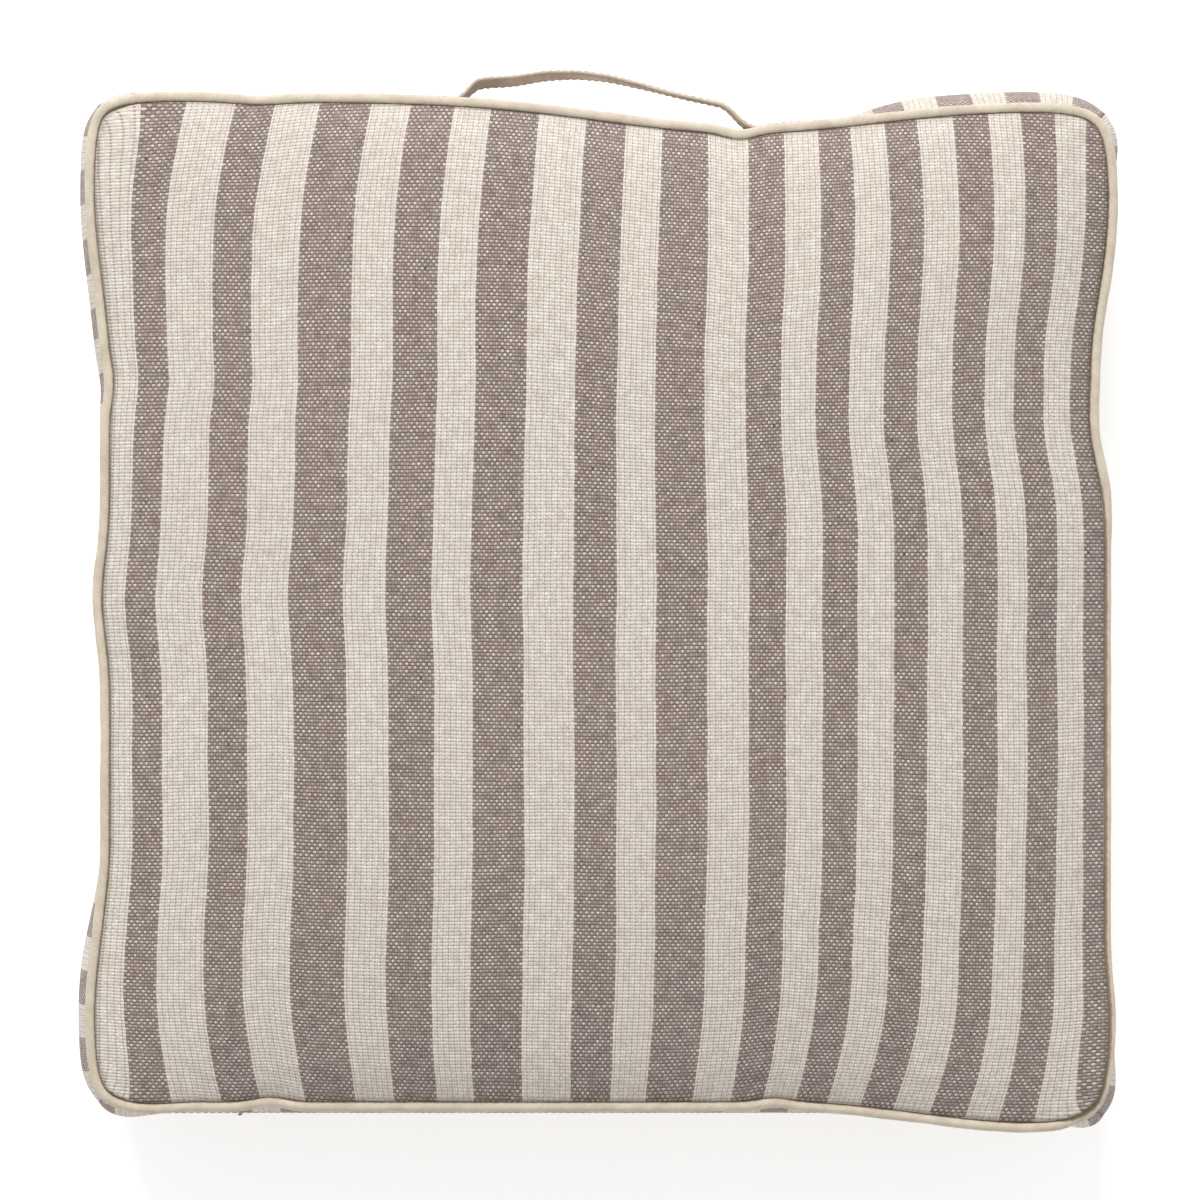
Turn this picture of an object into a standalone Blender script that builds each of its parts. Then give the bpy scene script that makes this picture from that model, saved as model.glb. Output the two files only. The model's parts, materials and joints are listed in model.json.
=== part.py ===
"""Square box cushion for the floor: a striped cotton cover with piped edges, a zip along one side,
a sewn strap handle along the opposite side, and a separate calico pad inside.

The cushion lies on its underside. +Z is up, +Y points to the handle side and -Y to the zip side.
The origin is the middle of the flat underside. All lengths are in metres.
"""
import math

import bmesh
import bpy
import numpy as np
from mathutils import Vector

MM = 0.001

# Outline of the seams: distance from the middle to each side's seam, at the middle of the side
HALF_LEFT = 237 * MM
HALF_RIGHT = 241 * MM
HALF_HANDLE_SIDE = 242 * MM
HALF_ZIP_SIDE = 235 * MM
CORNER_ROUNDNESS = 0.09           # corner radius as a share of the half width

# Heights
LOWER_SEAM = 12 * MM              # middle of the lower piping above the floor
UPPER_SEAM = 92 * MM
CROWN = 18 * MM                   # rise of the top panel above its seam
MIDDLE = (LOWER_SEAM + UPPER_SEAM) / 2

# Cloth
CLOTH = 1.0 * MM                  # thickness of the striped cloth
CASE_CLOTH = 0.6 * MM             # thickness of the calico
GAP = 0.3 * MM                    # clearance between pieces that touch
SIDE_BULGE = 9 * MM               # swell of the left and right boxing at half height
HANDLE_SIDE_BULGE = 6 * MM
ZIP_PLANE = 244.5 * MM            # the zip side is flat here, so that the zip runs straight

# Piping
PIPING_RADIUS = 2.7 * MM
PIPING_BORE = 2.0 * MM
PIPING_CORD = 1.1 * MM
FLANGE_END = 9 * MM               # how far the piping's seam allowance reaches inwards
FLANGE_CLOTH = 0.6 * MM
FLANGE_SLIT = 0.2 * MM            # half the slit between the two allowances

# Handle
STRAP_WIDTH = 22 * MM
STRAP_THICKNESS = 2.2 * MM
STRAP_BOW = 7 * MM                # how far the grip bows out from the line between its ends
GRIP_LEFT = Vector((-45 * MM, 256 * MM, MIDDLE))
GRIP_RIGHT = Vector((52 * MM, 245 * MM, MIDDLE))
SEWN_LEFT = (-96 * MM, -74 * MM)  # stretch of the strap sewn flat to the boxing, outer and inner end
SEWN_RIGHT = (98 * MM, 76 * MM)

# Zip
ZIP_HALF = 180 * MM               # half length of the coils
SLIT = 4.9 * MM                   # half width of the opening that shows the coils
TAPE_WIDTH = 12.3 * MM
TAPE_CLOTH = 0.8 * MM
PARTING = 0.7 * MM                # half the gap between the two coils, where the slider's post runs
COIL_WIDTH = 2.3 * MM
COIL_THICKNESS = 2.0 * MM
SLIDER_AT = 170 * MM              # slider's middle with the zip closed
SLIDER_LENGTH = 12 * MM
PULLER_LENGTH = 25 * MM

# Pad
PAD_INSET = 13 * MM               # pad's shoulder inside the piping's middle
PAD_SWELL = 7 * MM
PAD_BOTTOM = 2.0 * MM

SIDE_STEPS = 12
CORNER_STEPS = 2
STEPS = SIDE_STEPS + 2 * CORNER_STEPS
SIDES = ("zip_side", "right", "handle_side", "left")
HALF_CORNER = math.pi / 4           # turn from a side's direction to its corner's middle


def clear_scene():
    for thing in list(bpy.data.objects):
        bpy.data.objects.remove(thing, do_unlink=True)


def material(name, color, roughness, metallic=0.0):
    made = bpy.data.materials.new(name)
    made.use_nodes = True
    shader = made.node_tree.nodes["Principled BSDF"]
    shader.inputs["Base Color"].default_value = (*color, 1.0)
    shader.inputs["Roughness"].default_value = roughness
    shader.inputs["Metallic"].default_value = metallic
    return made


# ---------------------------------------------------------------- outline of the seams

def dip(at, centre, width, depth):
    """A soft pull inwards, depth deep and about width wide."""
    return depth * math.exp(-((at - centre) / width) ** 2)


def flare(at, start, run, amount):
    """Zero before start, then a smooth rise to amount over run."""
    share = min(max((at - start) / run, 0.0), 1.0)
    return amount * share * share * (3 - 2 * share)


def left_reach(y):
    return HALF_LEFT + flare(abs(y), 110 * MM, 95 * MM, 8 * MM)


def right_reach(y):
    return HALF_RIGHT - dip(y, 95 * MM, 45 * MM, 8 * MM)


def handle_side_reach(x):
    return HALF_HANDLE_SIDE - 0.0093 * x - dip(x, 64 * MM, 90 * MM, 13 * MM)


def zip_side_reach(x):
    return HALF_ZIP_SIDE + flare(x, 85 * MM, 130 * MM, 11 * MM) + flare(-x, 190 * MM, 30 * MM, 2 * MM)


def place(u, v):
    """Point of the cushion's plan for u and v from -1 to 1, out to the seam."""
    nominal = (HALF_LEFT + HALF_RIGHT) / 2
    x = u * (right_reach(v * nominal) if u > 0 else left_reach(v * nominal))
    y = v * (handle_side_reach(u * nominal) if v > 0 else zip_side_reach(u * nominal))
    return Vector((x, y))


def unit_station(side, step):
    """Point of a rounded unit square. Steps run from the middle of one corner to the next."""
    straight = 1 - CORNER_ROUNDNESS
    if step < CORNER_STEPS:
        turn = HALF_CORNER * (1 - step / CORNER_STEPS)
        along, out = -straight - CORNER_ROUNDNESS * math.sin(turn), straight + CORNER_ROUNDNESS * math.cos(turn)
    elif step > STEPS - CORNER_STEPS:
        turn = HALF_CORNER * (step - STEPS + CORNER_STEPS) / CORNER_STEPS
        along, out = straight + CORNER_ROUNDNESS * math.sin(turn), straight + CORNER_ROUNDNESS * math.cos(turn)
    else:
        along, out = straight * (2 * (step - CORNER_STEPS) / SIDE_STEPS - 1), 1.0
    return [(along, -out), (out, along), (-along, out), (-out, -along)][side]


UNIT = [unit_station(side, step) for side in range(4) for step in range(STEPS)]
SEAM = [place(u, v) for u, v in UNIT]
COUNT = len(SEAM)


def outward(k):
    """Unit normal of the seam line at station k, pointing out of the cushion."""
    along = SEAM[(k + 1) % COUNT] - SEAM[k - 1]
    return Vector((along.y, -along.x)).normalized()


OUT = [outward(k) for k in range(COUNT)]


def ring(out, height):
    """Closed row of points beside the seam line, moved out by a distance, at one height."""
    return [(*(SEAM[k] + OUT[k] * out), height) for k in range(COUNT)]


def inner_ring(share, drop, heights):
    """Closed row of points inside the seam line: towards the middle the row turns round."""
    row = []
    for k, (u, v) in enumerate(UNIT):
        length = math.hypot(u, v)
        soft = 1 - share ** 1.6
        mixed_u = share * ((1 - soft) * u + soft * 1.05 * u / length)
        mixed_v = share * ((1 - soft) * v + soft * 1.05 * v / length)
        inset = OUT[k] * drop * share
        row.append((*(place(mixed_u, mixed_v) - inset), heights(share)))
    return row


# ---------------------------------------------------------------- mesh helpers

def new_object(name, vertices, faces, made_of, parent=None):
    mesh = bpy.data.meshes.new(name)
    mesh.from_pydata([tuple(v) for v in vertices], [], faces)
    work = bmesh.new()
    work.from_mesh(mesh)
    bmesh.ops.remove_doubles(work, verts=work.verts, dist=0.001 * MM)
    bmesh.ops.recalc_face_normals(work, faces=work.faces)
    work.to_mesh(mesh)
    work.free()
    mesh.materials.append(made_of)
    mesh.shade_smooth()
    mesh.set_sharp_from_angle(angle=math.radians(40))
    thing = bpy.data.objects.new(name, mesh)
    bpy.context.collection.objects.link(thing)
    if parent is not None:
        thing.parent = parent
        thing.matrix_parent_inverse = parent.matrix_world.inverted()
    return thing


def strips(rows, width, closed, first=0):
    """Triangles between neighbouring rows of points, numbered from first."""
    faces = []
    for r in range(rows - 1):
        for c in range(width if closed else width - 1):
            a, b = first + r * width + c, first + r * width + (c + 1) % width
            faces += [(a, b, b + width), (a, b + width, a + width)]
    return faces


def cloth_panel(name, outer_rows, inner_rows, outer_pole, inner_pole, made_of):
    """A round-about panel with thickness: two nets of closed rows, each ending in one middle point."""
    rows = len(outer_rows)
    points = [p for row in outer_rows + inner_rows for p in row] + [outer_pole, inner_pole]
    second = rows * COUNT
    faces = strips(rows, COUNT, True) + strips(rows, COUNT, True, second)
    for c in range(COUNT):
        d = (c + 1) % COUNT
        last = (rows - 1) * COUNT
        faces.append((last + c, last + d, 2 * second))
        faces.append((second + last + d, second + last + c, 2 * second + 1))
        faces.append((c, d, second + d, second + c))
    return new_object(name, points, faces, made_of)


def cloth_strip(name, outer_rows, inner_rows, made_of, parent=None):
    """An open piece with thickness: two nets of open rows, joined round all four edges."""
    rows, width = len(outer_rows), len(outer_rows[0])
    second = rows * width
    points = [p for row in outer_rows + inner_rows for p in row]
    faces = strips(rows, width, False) + strips(rows, width, False, second)
    for c in range(width - 1):
        low, high = c, (rows - 1) * width + c
        faces.append((low, low + 1, second + low + 1, second + low))
        faces.append((high, high + 1, second + high + 1, second + high))
    for r in range(rows - 1):
        start, end = r * width, r * width + width - 1
        faces.append((start, start + width, second + start + width, second + start))
        faces.append((end, end + width, second + end + width, second + end))
    return new_object(name, points, faces, made_of, parent)


def ring_sweep(name, profile, height, made_of):
    """A closed profile of (out, up) points carried once round the seam line."""
    rows = [ring(out, height + up) for out, up in profile]
    points = [p for row in rows for p in row]
    faces = strips(len(rows), COUNT, True)
    last = (len(rows) - 1) * COUNT
    for c in range(COUNT):
        d = (c + 1) % COUNT
        faces.append((last + c, last + d, d, c))
    return new_object(name, points, faces, made_of)


def block(name, low, high, made_of, parent=None):
    corners = [(x, y, z) for x in (low[0], high[0]) for y in (low[1], high[1]) for z in (low[2], high[2])]
    faces = [(0, 1, 3, 2), (4, 6, 7, 5), (0, 4, 5, 1), (2, 3, 7, 6), (0, 2, 6, 4), (1, 5, 7, 3)]
    return new_object(name, corners, faces, made_of, parent)


def fuse(base, others, operation="UNION"):
    """Adds or cuts the other objects on base and hides them as working shapes."""
    for other in others:
        other.hide_render = True
        other.display_type = "WIRE"
        step = base.modifiers.new(operation.lower() + "_" + other.name, "BOOLEAN")
        step.operation = operation
        step.solver = "EXACT"
        step.object = other


# ---------------------------------------------------------------- panels

def crown_height(share):
    return (1 - share ** 3) ** 0.75


def underside_height(share):
    """Zero over the flat middle, then one smooth rise to the seam."""
    return flare(share, 0.86, 0.14, 1.0)


def make_panels(cloth):
    shares = (1.0, 0.97, 0.9, 0.76, 0.54, 0.28)
    edge = UPPER_SEAM + FLANGE_SLIT + FLANGE_CLOTH + GAP
    tops = {}
    for layer, rise in (("outer", CLOTH), ("inner", 0.0)):
        def height(share, rise=rise):
            return edge + rise + CROWN * crown_height(share)
        tops[layer] = [inner_ring(share, GAP, height) for share in shares]
        tops[layer + "_pole"] = (0, 0, height(0.0))
    cloth_panel("top_panel", tops["outer"], tops["inner"], tops["outer_pole"], tops["inner_pole"], cloth)

    shares = (1.0, 0.97, 0.93, 0.86, 0.5)
    edge = LOWER_SEAM - FLANGE_SLIT - FLANGE_CLOTH - GAP
    sheets = {}
    for layer, rise in (("outer", 0.0), ("inner", CLOTH)):
        def height(share, rise=rise):
            return rise + (edge - CLOTH) * underside_height(share)
        sheets[layer] = [inner_ring(share, GAP, height) for share in shares]
        sheets[layer + "_pole"] = (0, 0, rise)
    cloth_panel("bottom_panel", sheets["outer"], sheets["inner"], sheets["outer_pole"], sheets["inner_pole"], cloth)


# ---------------------------------------------------------------- boxing

def swell(share):
    """Cross curve of the boxing: 0 at both seams and 1 at half height."""
    return 1 - abs(2 * share - 1) ** 2.5


EDGE_DROP = FLANGE_SLIT + FLANGE_CLOTH + GAP
BOXING_LOW = LOWER_SEAM + EDGE_DROP
BOXING_HIGH = UPPER_SEAM - EDGE_DROP


def height_share(height):
    return (height - BOXING_LOW) / (BOXING_HIGH - BOXING_LOW)


def bulge_at(side, k):
    """Swell of the boxing at a station. The zip side swells out to one flat plane."""
    if SIDES[side] == "handle_side":
        return HANDLE_SIDE_BULGE
    if SIDES[side] == "zip_side" and abs(UNIT[k][1]) > 0.999:
        return (ZIP_PLANE - abs(SEAM[k].y)) / abs(OUT[k].y) + GAP
    return SIDE_BULGE


def boxing_row(side, height, depth, first=0, last=STEPS):
    """Row of points along one side's boxing at a height, depth under its outer face."""
    row = []
    for step in range(first, last + 1):
        k = (side * STEPS + step) % COUNT
        corner = step in (0, STEPS)
        bulge = SIDE_BULGE if corner else bulge_at(side, k)
        out = bulge * swell(height_share(height)) - GAP - depth
        point = SEAM[k] + OUT[k] * out
        if corner:
            tangent = Vector((-OUT[k].y, OUT[k].x))
            point += tangent * (0.6 * GAP if step == 0 else -0.6 * GAP)
        row.append((*point, height))
    return row


def make_boxing(cloth):
    levels = [BOXING_LOW + share * (BOXING_HIGH - BOXING_LOW) for share in (0, 0.1, 0.28, 0.5, 0.72, 0.9, 1)]
    for side in (1, 2, 3):
        outer = [boxing_row(side, z, 0.0) for z in levels]
        inner = [boxing_row(side, z, CLOTH) for z in levels]
        cloth_strip("boxing_" + SIDES[side], outer, inner, cloth)
    for name, sign, seam in (("upper", 1, BOXING_HIGH), ("lower", -1, BOXING_LOW)):
        rows = {0.0: [], CLOTH: []}
        for share in (0, 0.15, 0.4, 0.75, 1):
            for depth in rows:
                row = []
                for step in range(STEPS + 1):
                    at_zip = CORNER_STEPS < step < STEPS - CORNER_STEPS
                    fold = MIDDLE + sign * (SLIT if at_zip else GAP / 2)
                    height = fold + share * (seam - fold)
                    row.append(boxing_row(0, height, depth, step, step)[0])
                rows[depth].append(row)
        cloth_strip("boxing_zip_" + name, rows[0.0], rows[CLOTH], cloth)


# ---------------------------------------------------------------- piping

def make_piping(cloth, cord):
    """The cover is a strip folded round the cord: its two edges run inwards as seam allowance."""
    outer_start = math.pi - math.asin((FLANGE_SLIT + FLANGE_CLOTH) / PIPING_RADIUS)
    inner_start = math.pi - math.asin(FLANGE_SLIT / PIPING_BORE)
    outer = [outer_start * (1 - 2 * i / 6) for i in range(7)]
    inner = [inner_start * (2 * i / 4 - 1) for i in range(5)]
    profile = [(-FLANGE_END, FLANGE_SLIT + FLANGE_CLOTH)]
    profile += [(PIPING_RADIUS * math.cos(a), PIPING_RADIUS * math.sin(a)) for a in outer]
    profile += [(-FLANGE_END, -FLANGE_SLIT - FLANGE_CLOTH), (-FLANGE_END, -FLANGE_SLIT)]
    profile += [(PIPING_BORE * math.cos(a), PIPING_BORE * math.sin(a)) for a in inner]
    profile += [(-FLANGE_END, FLANGE_SLIT)]
    profile = [(out + PIPING_RADIUS, up) for out, up in profile]
    filler = [i * math.pi / 3 for i in range(6)]
    filler = [(PIPING_RADIUS + PIPING_CORD * math.cos(a), PIPING_CORD * math.sin(a)) for a in filler]
    for name, height in (("top", UPPER_SEAM), ("bottom", LOWER_SEAM)):
        ring_sweep("piping_cover_" + name, profile, height, cloth)
        ring_sweep("piping_cord_" + name, filler, height, cord)


# ---------------------------------------------------------------- handle

HANDLE_LINE = sorted((SEAM[2 * STEPS + s].x, SEAM[2 * STEPS + s].y) for s in range(STEPS + 1))
HANDLE_LINE_X = [x for x, _ in HANDLE_LINE]
HANDLE_LINE_Y = [y for _, y in HANDLE_LINE]


def handle_face(x, height):
    """y of the handle side's outer face."""
    seam = float(np.interp(x, HANDLE_LINE_X, HANDLE_LINE_Y))
    return seam + HANDLE_SIDE_BULGE * swell(height_share(height)) - GAP


def strap_middle(x):
    """y of the strap's middle surface over the grip: a bow over the line between the grip's ends."""
    share = (x - GRIP_LEFT.x) / (GRIP_RIGHT.x - GRIP_LEFT.x)
    line = GRIP_LEFT.y + share * (GRIP_RIGHT.y - GRIP_LEFT.y)
    return line + STRAP_BOW * (1 - (2 * share - 1) ** 2)


def strap_rows(places, sheet_at, side):
    """Rows across the strap's width; side is +1 for its outer face and -1 for its inner face."""
    rows = []
    for across in (-0.5, -0.44, -0.15, 0.15, 0.44, 0.5):
        height = MIDDLE + across * STRAP_WIDTH
        thin = 0.35 if abs(across) == 0.5 else 1.0
        rows.append([(x, sheet_at(x, height) + side * thin * STRAP_THICKNESS / 2, height) for x in places])
    return rows


def make_handle(cloth, thread):
    pivot = bpy.data.objects.new("handle_pivot", None)
    bpy.context.collection.objects.link(pivot)
    pivot.location = (GRIP_LEFT + GRIP_RIGHT) / 2
    bpy.context.view_layer.update()
    places = [GRIP_LEFT.x + (GRIP_RIGHT.x - GRIP_LEFT.x) * i / 14 for i in range(15)]

    def grip(x, height):
        return strap_middle(x)
    cloth_strip("handle_strap", strap_rows(places, grip, 1), strap_rows(places, grip, -1), cloth, pivot)

    for name, sewn, end in (("left", SEWN_LEFT, GRIP_LEFT), ("right", SEWN_RIGHT, GRIP_RIGHT)):
        inwards = math.copysign(1, end.x - sewn[0])
        stop = end.x - inwards * GAP
        leg = [sewn[1] + (stop - sewn[1]) * i / 8 for i in range(9)]
        flat = [sewn[0] + (sewn[1] - sewn[0]) * i / 3 for i in range(3)]

        def surface(x, height, sewn=sewn, stop=stop, end=end):
            lying = handle_face(x, height) + GAP + STRAP_THICKNESS / 2
            share = flare((x - sewn[1]) / (stop - sewn[1]), 0.0, 1.0, 1.0)
            return lying + share * (end.y - lying)
        cloth_strip("handle_end_" + name, strap_rows(flat + leg, surface, 1),
                    strap_rows(flat + leg, surface, -1), cloth)
        make_box_stitch("handle_stitch_" + name, sewn, surface, thread)


def make_box_stitch(name, sewn, surface, thread):
    """Stitching that holds one strap end: a rectangle with a cross in it, lying on the strap."""
    centre, half = (sewn[0] + sewn[1]) / 2, abs(sewn[1] - sewn[0]) / 2 - 2 * MM
    tall = STRAP_WIDTH / 2 - 3 * MM
    work = bmesh.new()
    corners = [work.verts.new((centre + a * half, 0, MIDDLE + b * tall)) for a, b in
               ((-1, -1), (1, -1), (1, 1), (-1, 1))]
    face = work.faces.new(corners)
    bmesh.ops.poke(work, faces=[face])
    inset = bmesh.ops.inset_individual(work, faces=list(work.faces), thickness=0.45 * MM)
    rim = set(inset["faces"])
    bmesh.ops.delete(work, geom=[f for f in work.faces if f not in rim], context="FACES")
    raised = bmesh.ops.extrude_face_region(work, geom=list(work.faces))
    upper = {v for v in raised["geom"] if isinstance(v, bmesh.types.BMVert)}
    for vertex in work.verts:
        lift = GAP + (0.7 * MM if vertex in upper else 0.0)
        vertex.co.y = surface(vertex.co.x, vertex.co.z) + STRAP_THICKNESS / 2 + lift
    bmesh.ops.recalc_face_normals(work, faces=work.faces)
    mesh = bpy.data.meshes.new(name)
    work.to_mesh(mesh)
    work.free()
    mesh.materials.append(thread)
    bpy.context.collection.objects.link(bpy.data.objects.new(name, mesh))


# ---------------------------------------------------------------- zip

def make_zip(tape, coil, metal):
    """Closed zip: two tapes, two coils, and a slider whose post runs in the gap between them."""
    outside = -ZIP_PLANE
    tape_outer = outside + CLOTH + GAP
    coil_inner = tape_outer - GAP
    coil_outer = coil_inner - COIL_THICKNESS
    for name, sign in (("upper", 1), ("lower", -1)):
        heights = [MIDDLE + sign * (PARTING + TAPE_WIDTH * share) for share in (0, 0.45, 0.75, 1)]
        first, last = CORNER_STEPS + 1, STEPS - CORNER_STEPS - 1
        outer = [boxing_row(0, z, CLOTH + GAP, first, last) for z in heights]
        inner = [boxing_row(0, z, CLOTH + GAP + TAPE_CLOTH, first, last) for z in heights]
        cloth_strip("zip_tape_" + name, outer, inner, tape)
        near, far = sorted((MIDDLE + sign * PARTING, MIDDLE + sign * (PARTING + COIL_WIDTH)))
        block("zip_coil_" + name, (-ZIP_HALF, coil_outer, near), (ZIP_HALF, coil_inner, far), coil)
    for name, x in (("closed_stop", ZIP_HALF - 3 * MM), ("open_stop", 1 * MM - ZIP_HALF)):
        half = PARTING + COIL_WIDTH
        block("zip_" + name, (x, coil_outer - GAP - 0.8 * MM, MIDDLE - half),
              (x + 2 * MM, coil_outer - GAP, MIDDLE + half), metal)

    plate_inner = coil_outer - GAP
    plate_outer = plate_inner - 1.2 * MM
    back_outer = tape_outer + TAPE_CLOTH + GAP
    half_length, half_width = SLIDER_LENGTH / 2, 4.2 * MM
    left, right = SLIDER_AT - half_length, SLIDER_AT + half_length
    slider = block("zip_slider", (left, plate_outer, MIDDLE - half_width),
                   (right, plate_inner, MIDDLE + half_width), metal)
    post = block("slider_post", (SLIDER_AT, plate_outer + 0.5 * MM, MIDDLE - 0.4 * MM),
                 (right - 1 * MM, back_outer + 0.5 * MM, MIDDLE + 0.4 * MM), metal)
    back = block("slider_back", (left + 1 * MM, back_outer, MIDDLE - 3.2 * MM),
                 (right - 0.5 * MM, back_outer + 1 * MM, MIDDLE + 3.2 * MM), metal)
    lips = [block("slider_lip_" + name, (left, plate_outer + 0.4 * MM, MIDDLE + low * MM),
                  (right, coil_outer + 0.8 * MM, MIDDLE + high * MM), metal)
            for name, low, high in (("upper", 3.35, 4.2), ("lower", -4.2, -3.35))]
    bar_y = plate_outer - 0.3 * MM - 0.5 * MM
    arch = block("slider_arch", (SLIDER_AT - 2 * MM, bar_y - 1.8 * MM, MIDDLE - 0.7 * MM),
                 (SLIDER_AT + 2 * MM, plate_outer + 0.5 * MM, MIDDLE + 0.7 * MM), metal)
    eye = block("slider_eye", (SLIDER_AT - 0.95 * MM, bar_y - 0.9 * MM, MIDDLE - 3 * MM),
                (SLIDER_AT + 0.95 * MM, plate_outer, MIDDLE + 3 * MM), metal)
    fuse(slider, [post, back, *lips, arch])
    fuse(slider, [eye], "DIFFERENCE")

    pivot = bpy.data.objects.new("puller_pivot", None)
    bpy.context.collection.objects.link(pivot)
    pivot.location = (SLIDER_AT, bar_y, MIDDLE)
    bpy.context.view_layer.update()
    puller = block("zip_puller", (SLIDER_AT - PULLER_LENGTH, bar_y - 0.5 * MM, MIDDLE - 2.6 * MM),
                   (SLIDER_AT + 0.5 * MM, bar_y + 0.5 * MM, MIDDLE + 2.6 * MM), metal, pivot)
    window = block("puller_window", (SLIDER_AT - 5 * MM, bar_y - 2 * MM, MIDDLE - 1.3 * MM),
                   (SLIDER_AT - 0.5 * MM, bar_y + 2 * MM, MIDDLE + 1.3 * MM), metal)
    fuse(puller, [window], "DIFFERENCE")


# ---------------------------------------------------------------- pad

def pad_rows(depth, lower):
    """Rows of one half of the pad, from its middle line over the shoulder to its face."""
    rows = []
    shoulder = LOWER_SEAM + 2 * MM if lower else UPPER_SEAM - 3 * MM
    for share in (0.0, 0.35, 0.7, 1.0):
        start = MIDDLE + (-GAP if lower else GAP) / 2 * (depth < CASE_CLOTH + GAP)
        height = start + share * (shoulder - start)
        out = PIPING_RADIUS - PAD_INSET + PAD_SWELL * (1 - share ** 2.5) - depth
        rows.append(ring(out, height))

    def face(share):
        if lower:
            return PAD_BOTTOM + depth + 9 * MM * underside_height(share)
        return UPPER_SEAM - 1.5 * MM - depth + CROWN * crown_height(share)
    for share in (0.93, 0.86, 0.5):
        rows.append(inner_ring(share, depth, face))
    return rows, (0, 0, face(0.0))


def make_pad(calico, fibre):
    for name, lower in (("upper", False), ("lower", True)):
        outer, outer_pole = pad_rows(0.0, lower)
        inner, inner_pole = pad_rows(CASE_CLOTH, lower)
        cloth_panel("pad_case_" + name, outer, inner, outer_pole, inner_pole, calico)
    depth = CASE_CLOTH + GAP
    over, top = pad_rows(depth, False)
    under, bottom = pad_rows(depth, True)
    rows = len(over)
    points = [p for row in under + over for p in row] + [bottom, top]
    faces = strips(rows, COUNT, True) + strips(rows, COUNT, True, rows * COUNT)
    for c in range(COUNT):
        d = (c + 1) % COUNT
        for net, pole in ((rows - 1, 0), (2 * rows - 1, 1)):
            faces.append((net * COUNT + c, net * COUNT + d, 2 * rows * COUNT + pole))
    new_object("pad_filling", points, faces, fibre)


def main():
    clear_scene()
    striped = material("striped_cotton", (0.50, 0.43, 0.38), 0.9)
    plain = material("plain_cotton", (0.76, 0.67, 0.50), 0.85)
    cord = material("cotton_cord", (0.80, 0.76, 0.68), 0.9)
    thread = material("sewing_thread", (0.78, 0.70, 0.55), 0.7)
    tape = material("zip_tape", (0.70, 0.64, 0.55), 0.85)
    coil = material("zip_coil", (0.72, 0.67, 0.58), 0.45)
    metal = material("zip_metal", (0.55, 0.54, 0.52), 0.35, 1.0)
    calico = material("calico", (0.82, 0.77, 0.66), 0.9)
    fibre = material("fibre_filling", (0.90, 0.90, 0.88), 1.0)
    make_panels(striped)
    make_boxing(striped)
    make_piping(plain, cord)
    make_handle(plain, thread)
    make_zip(tape, coil, metal)
    make_pad(calico, fibre)


main()
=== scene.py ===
# %% [markdown]
# # A square box cushion for the floor
# The cover is striped cotton with piped edges, a zip in one side and a strap handle in the side
# opposite. Inside lies a pad in a calico case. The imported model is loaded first: it fixes where
# every piece sits and what moves, and each new piece then rides on one of its bodies.

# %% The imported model
import json
import math

import bpy
import numpy as np
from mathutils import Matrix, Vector


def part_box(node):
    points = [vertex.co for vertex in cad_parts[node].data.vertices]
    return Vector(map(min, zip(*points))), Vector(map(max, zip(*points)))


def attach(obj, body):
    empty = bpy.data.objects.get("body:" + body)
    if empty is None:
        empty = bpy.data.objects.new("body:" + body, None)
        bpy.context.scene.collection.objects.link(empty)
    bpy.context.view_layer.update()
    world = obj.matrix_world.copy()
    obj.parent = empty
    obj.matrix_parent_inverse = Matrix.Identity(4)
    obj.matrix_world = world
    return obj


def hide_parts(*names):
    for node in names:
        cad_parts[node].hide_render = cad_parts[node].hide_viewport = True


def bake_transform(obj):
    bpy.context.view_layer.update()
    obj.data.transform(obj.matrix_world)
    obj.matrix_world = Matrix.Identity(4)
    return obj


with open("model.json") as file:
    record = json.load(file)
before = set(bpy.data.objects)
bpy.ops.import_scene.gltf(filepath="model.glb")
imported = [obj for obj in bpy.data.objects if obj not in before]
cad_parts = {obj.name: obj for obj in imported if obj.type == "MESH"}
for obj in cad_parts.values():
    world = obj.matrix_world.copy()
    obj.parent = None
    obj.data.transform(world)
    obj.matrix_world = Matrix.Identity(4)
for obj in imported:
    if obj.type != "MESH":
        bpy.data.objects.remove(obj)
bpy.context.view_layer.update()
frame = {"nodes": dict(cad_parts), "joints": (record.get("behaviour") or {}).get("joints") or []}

MM = 0.001

# %% [markdown]
# ## The camera and the studio
# The cushion is seen straight from above, from far enough that its upright sides hardly show. A
# long lens does that. The room is a pale floor under an even white sky, with one wide soft light
# on the handle's side, so that each swell of the cloth has a bright and a shaded flank.

# %% Camera, floor and lights
scene = bpy.context.scene
scene.view_settings.view_transform = "Standard"


def lens_over(x, y, height, shown, seam):
    """A camera that looks straight down and shows a width of `shown` metres at the seam's height."""
    data = bpy.data.cameras.new("overhead")
    data.sensor_width = 36
    data.lens = data.sensor_width * (height - seam) / shown
    data.clip_end = 50
    eye = bpy.data.objects.new("overhead", data)
    eye.location = (x, y, height)
    scene.collection.objects.link(eye)
    scene.camera = eye
    return eye


def soft_light(name, place, aim, size, watts, colour=(1, 1, 1)):
    """A square lamp of a given size that faces the point it is aimed at."""
    data = bpy.data.lights.new(name, "AREA")
    data.size, data.energy, data.color = size, watts, colour
    lamp = bpy.data.objects.new(name, data)
    lamp.location = place
    lamp.rotation_euler = (Vector(aim) - Vector(place)).to_track_quat("-Z", "Y").to_euler()
    scene.collection.objects.link(lamp)
    return lamp


lens_over(x=-2.4 * MM, y=4.8 * MM, height=2.49, shown=0.576, seam=0.092)
soft_light("window", (-0.6, 2.9, 2.5), (0, 0, 0.05), 1.9, 124)
soft_light("fill", (0.9, -1.2, 2.6), (0, 0, 0.05), 1.5, 4)
print("camera above the cushion, lens", round(scene.camera.data.lens), "mm")

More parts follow.
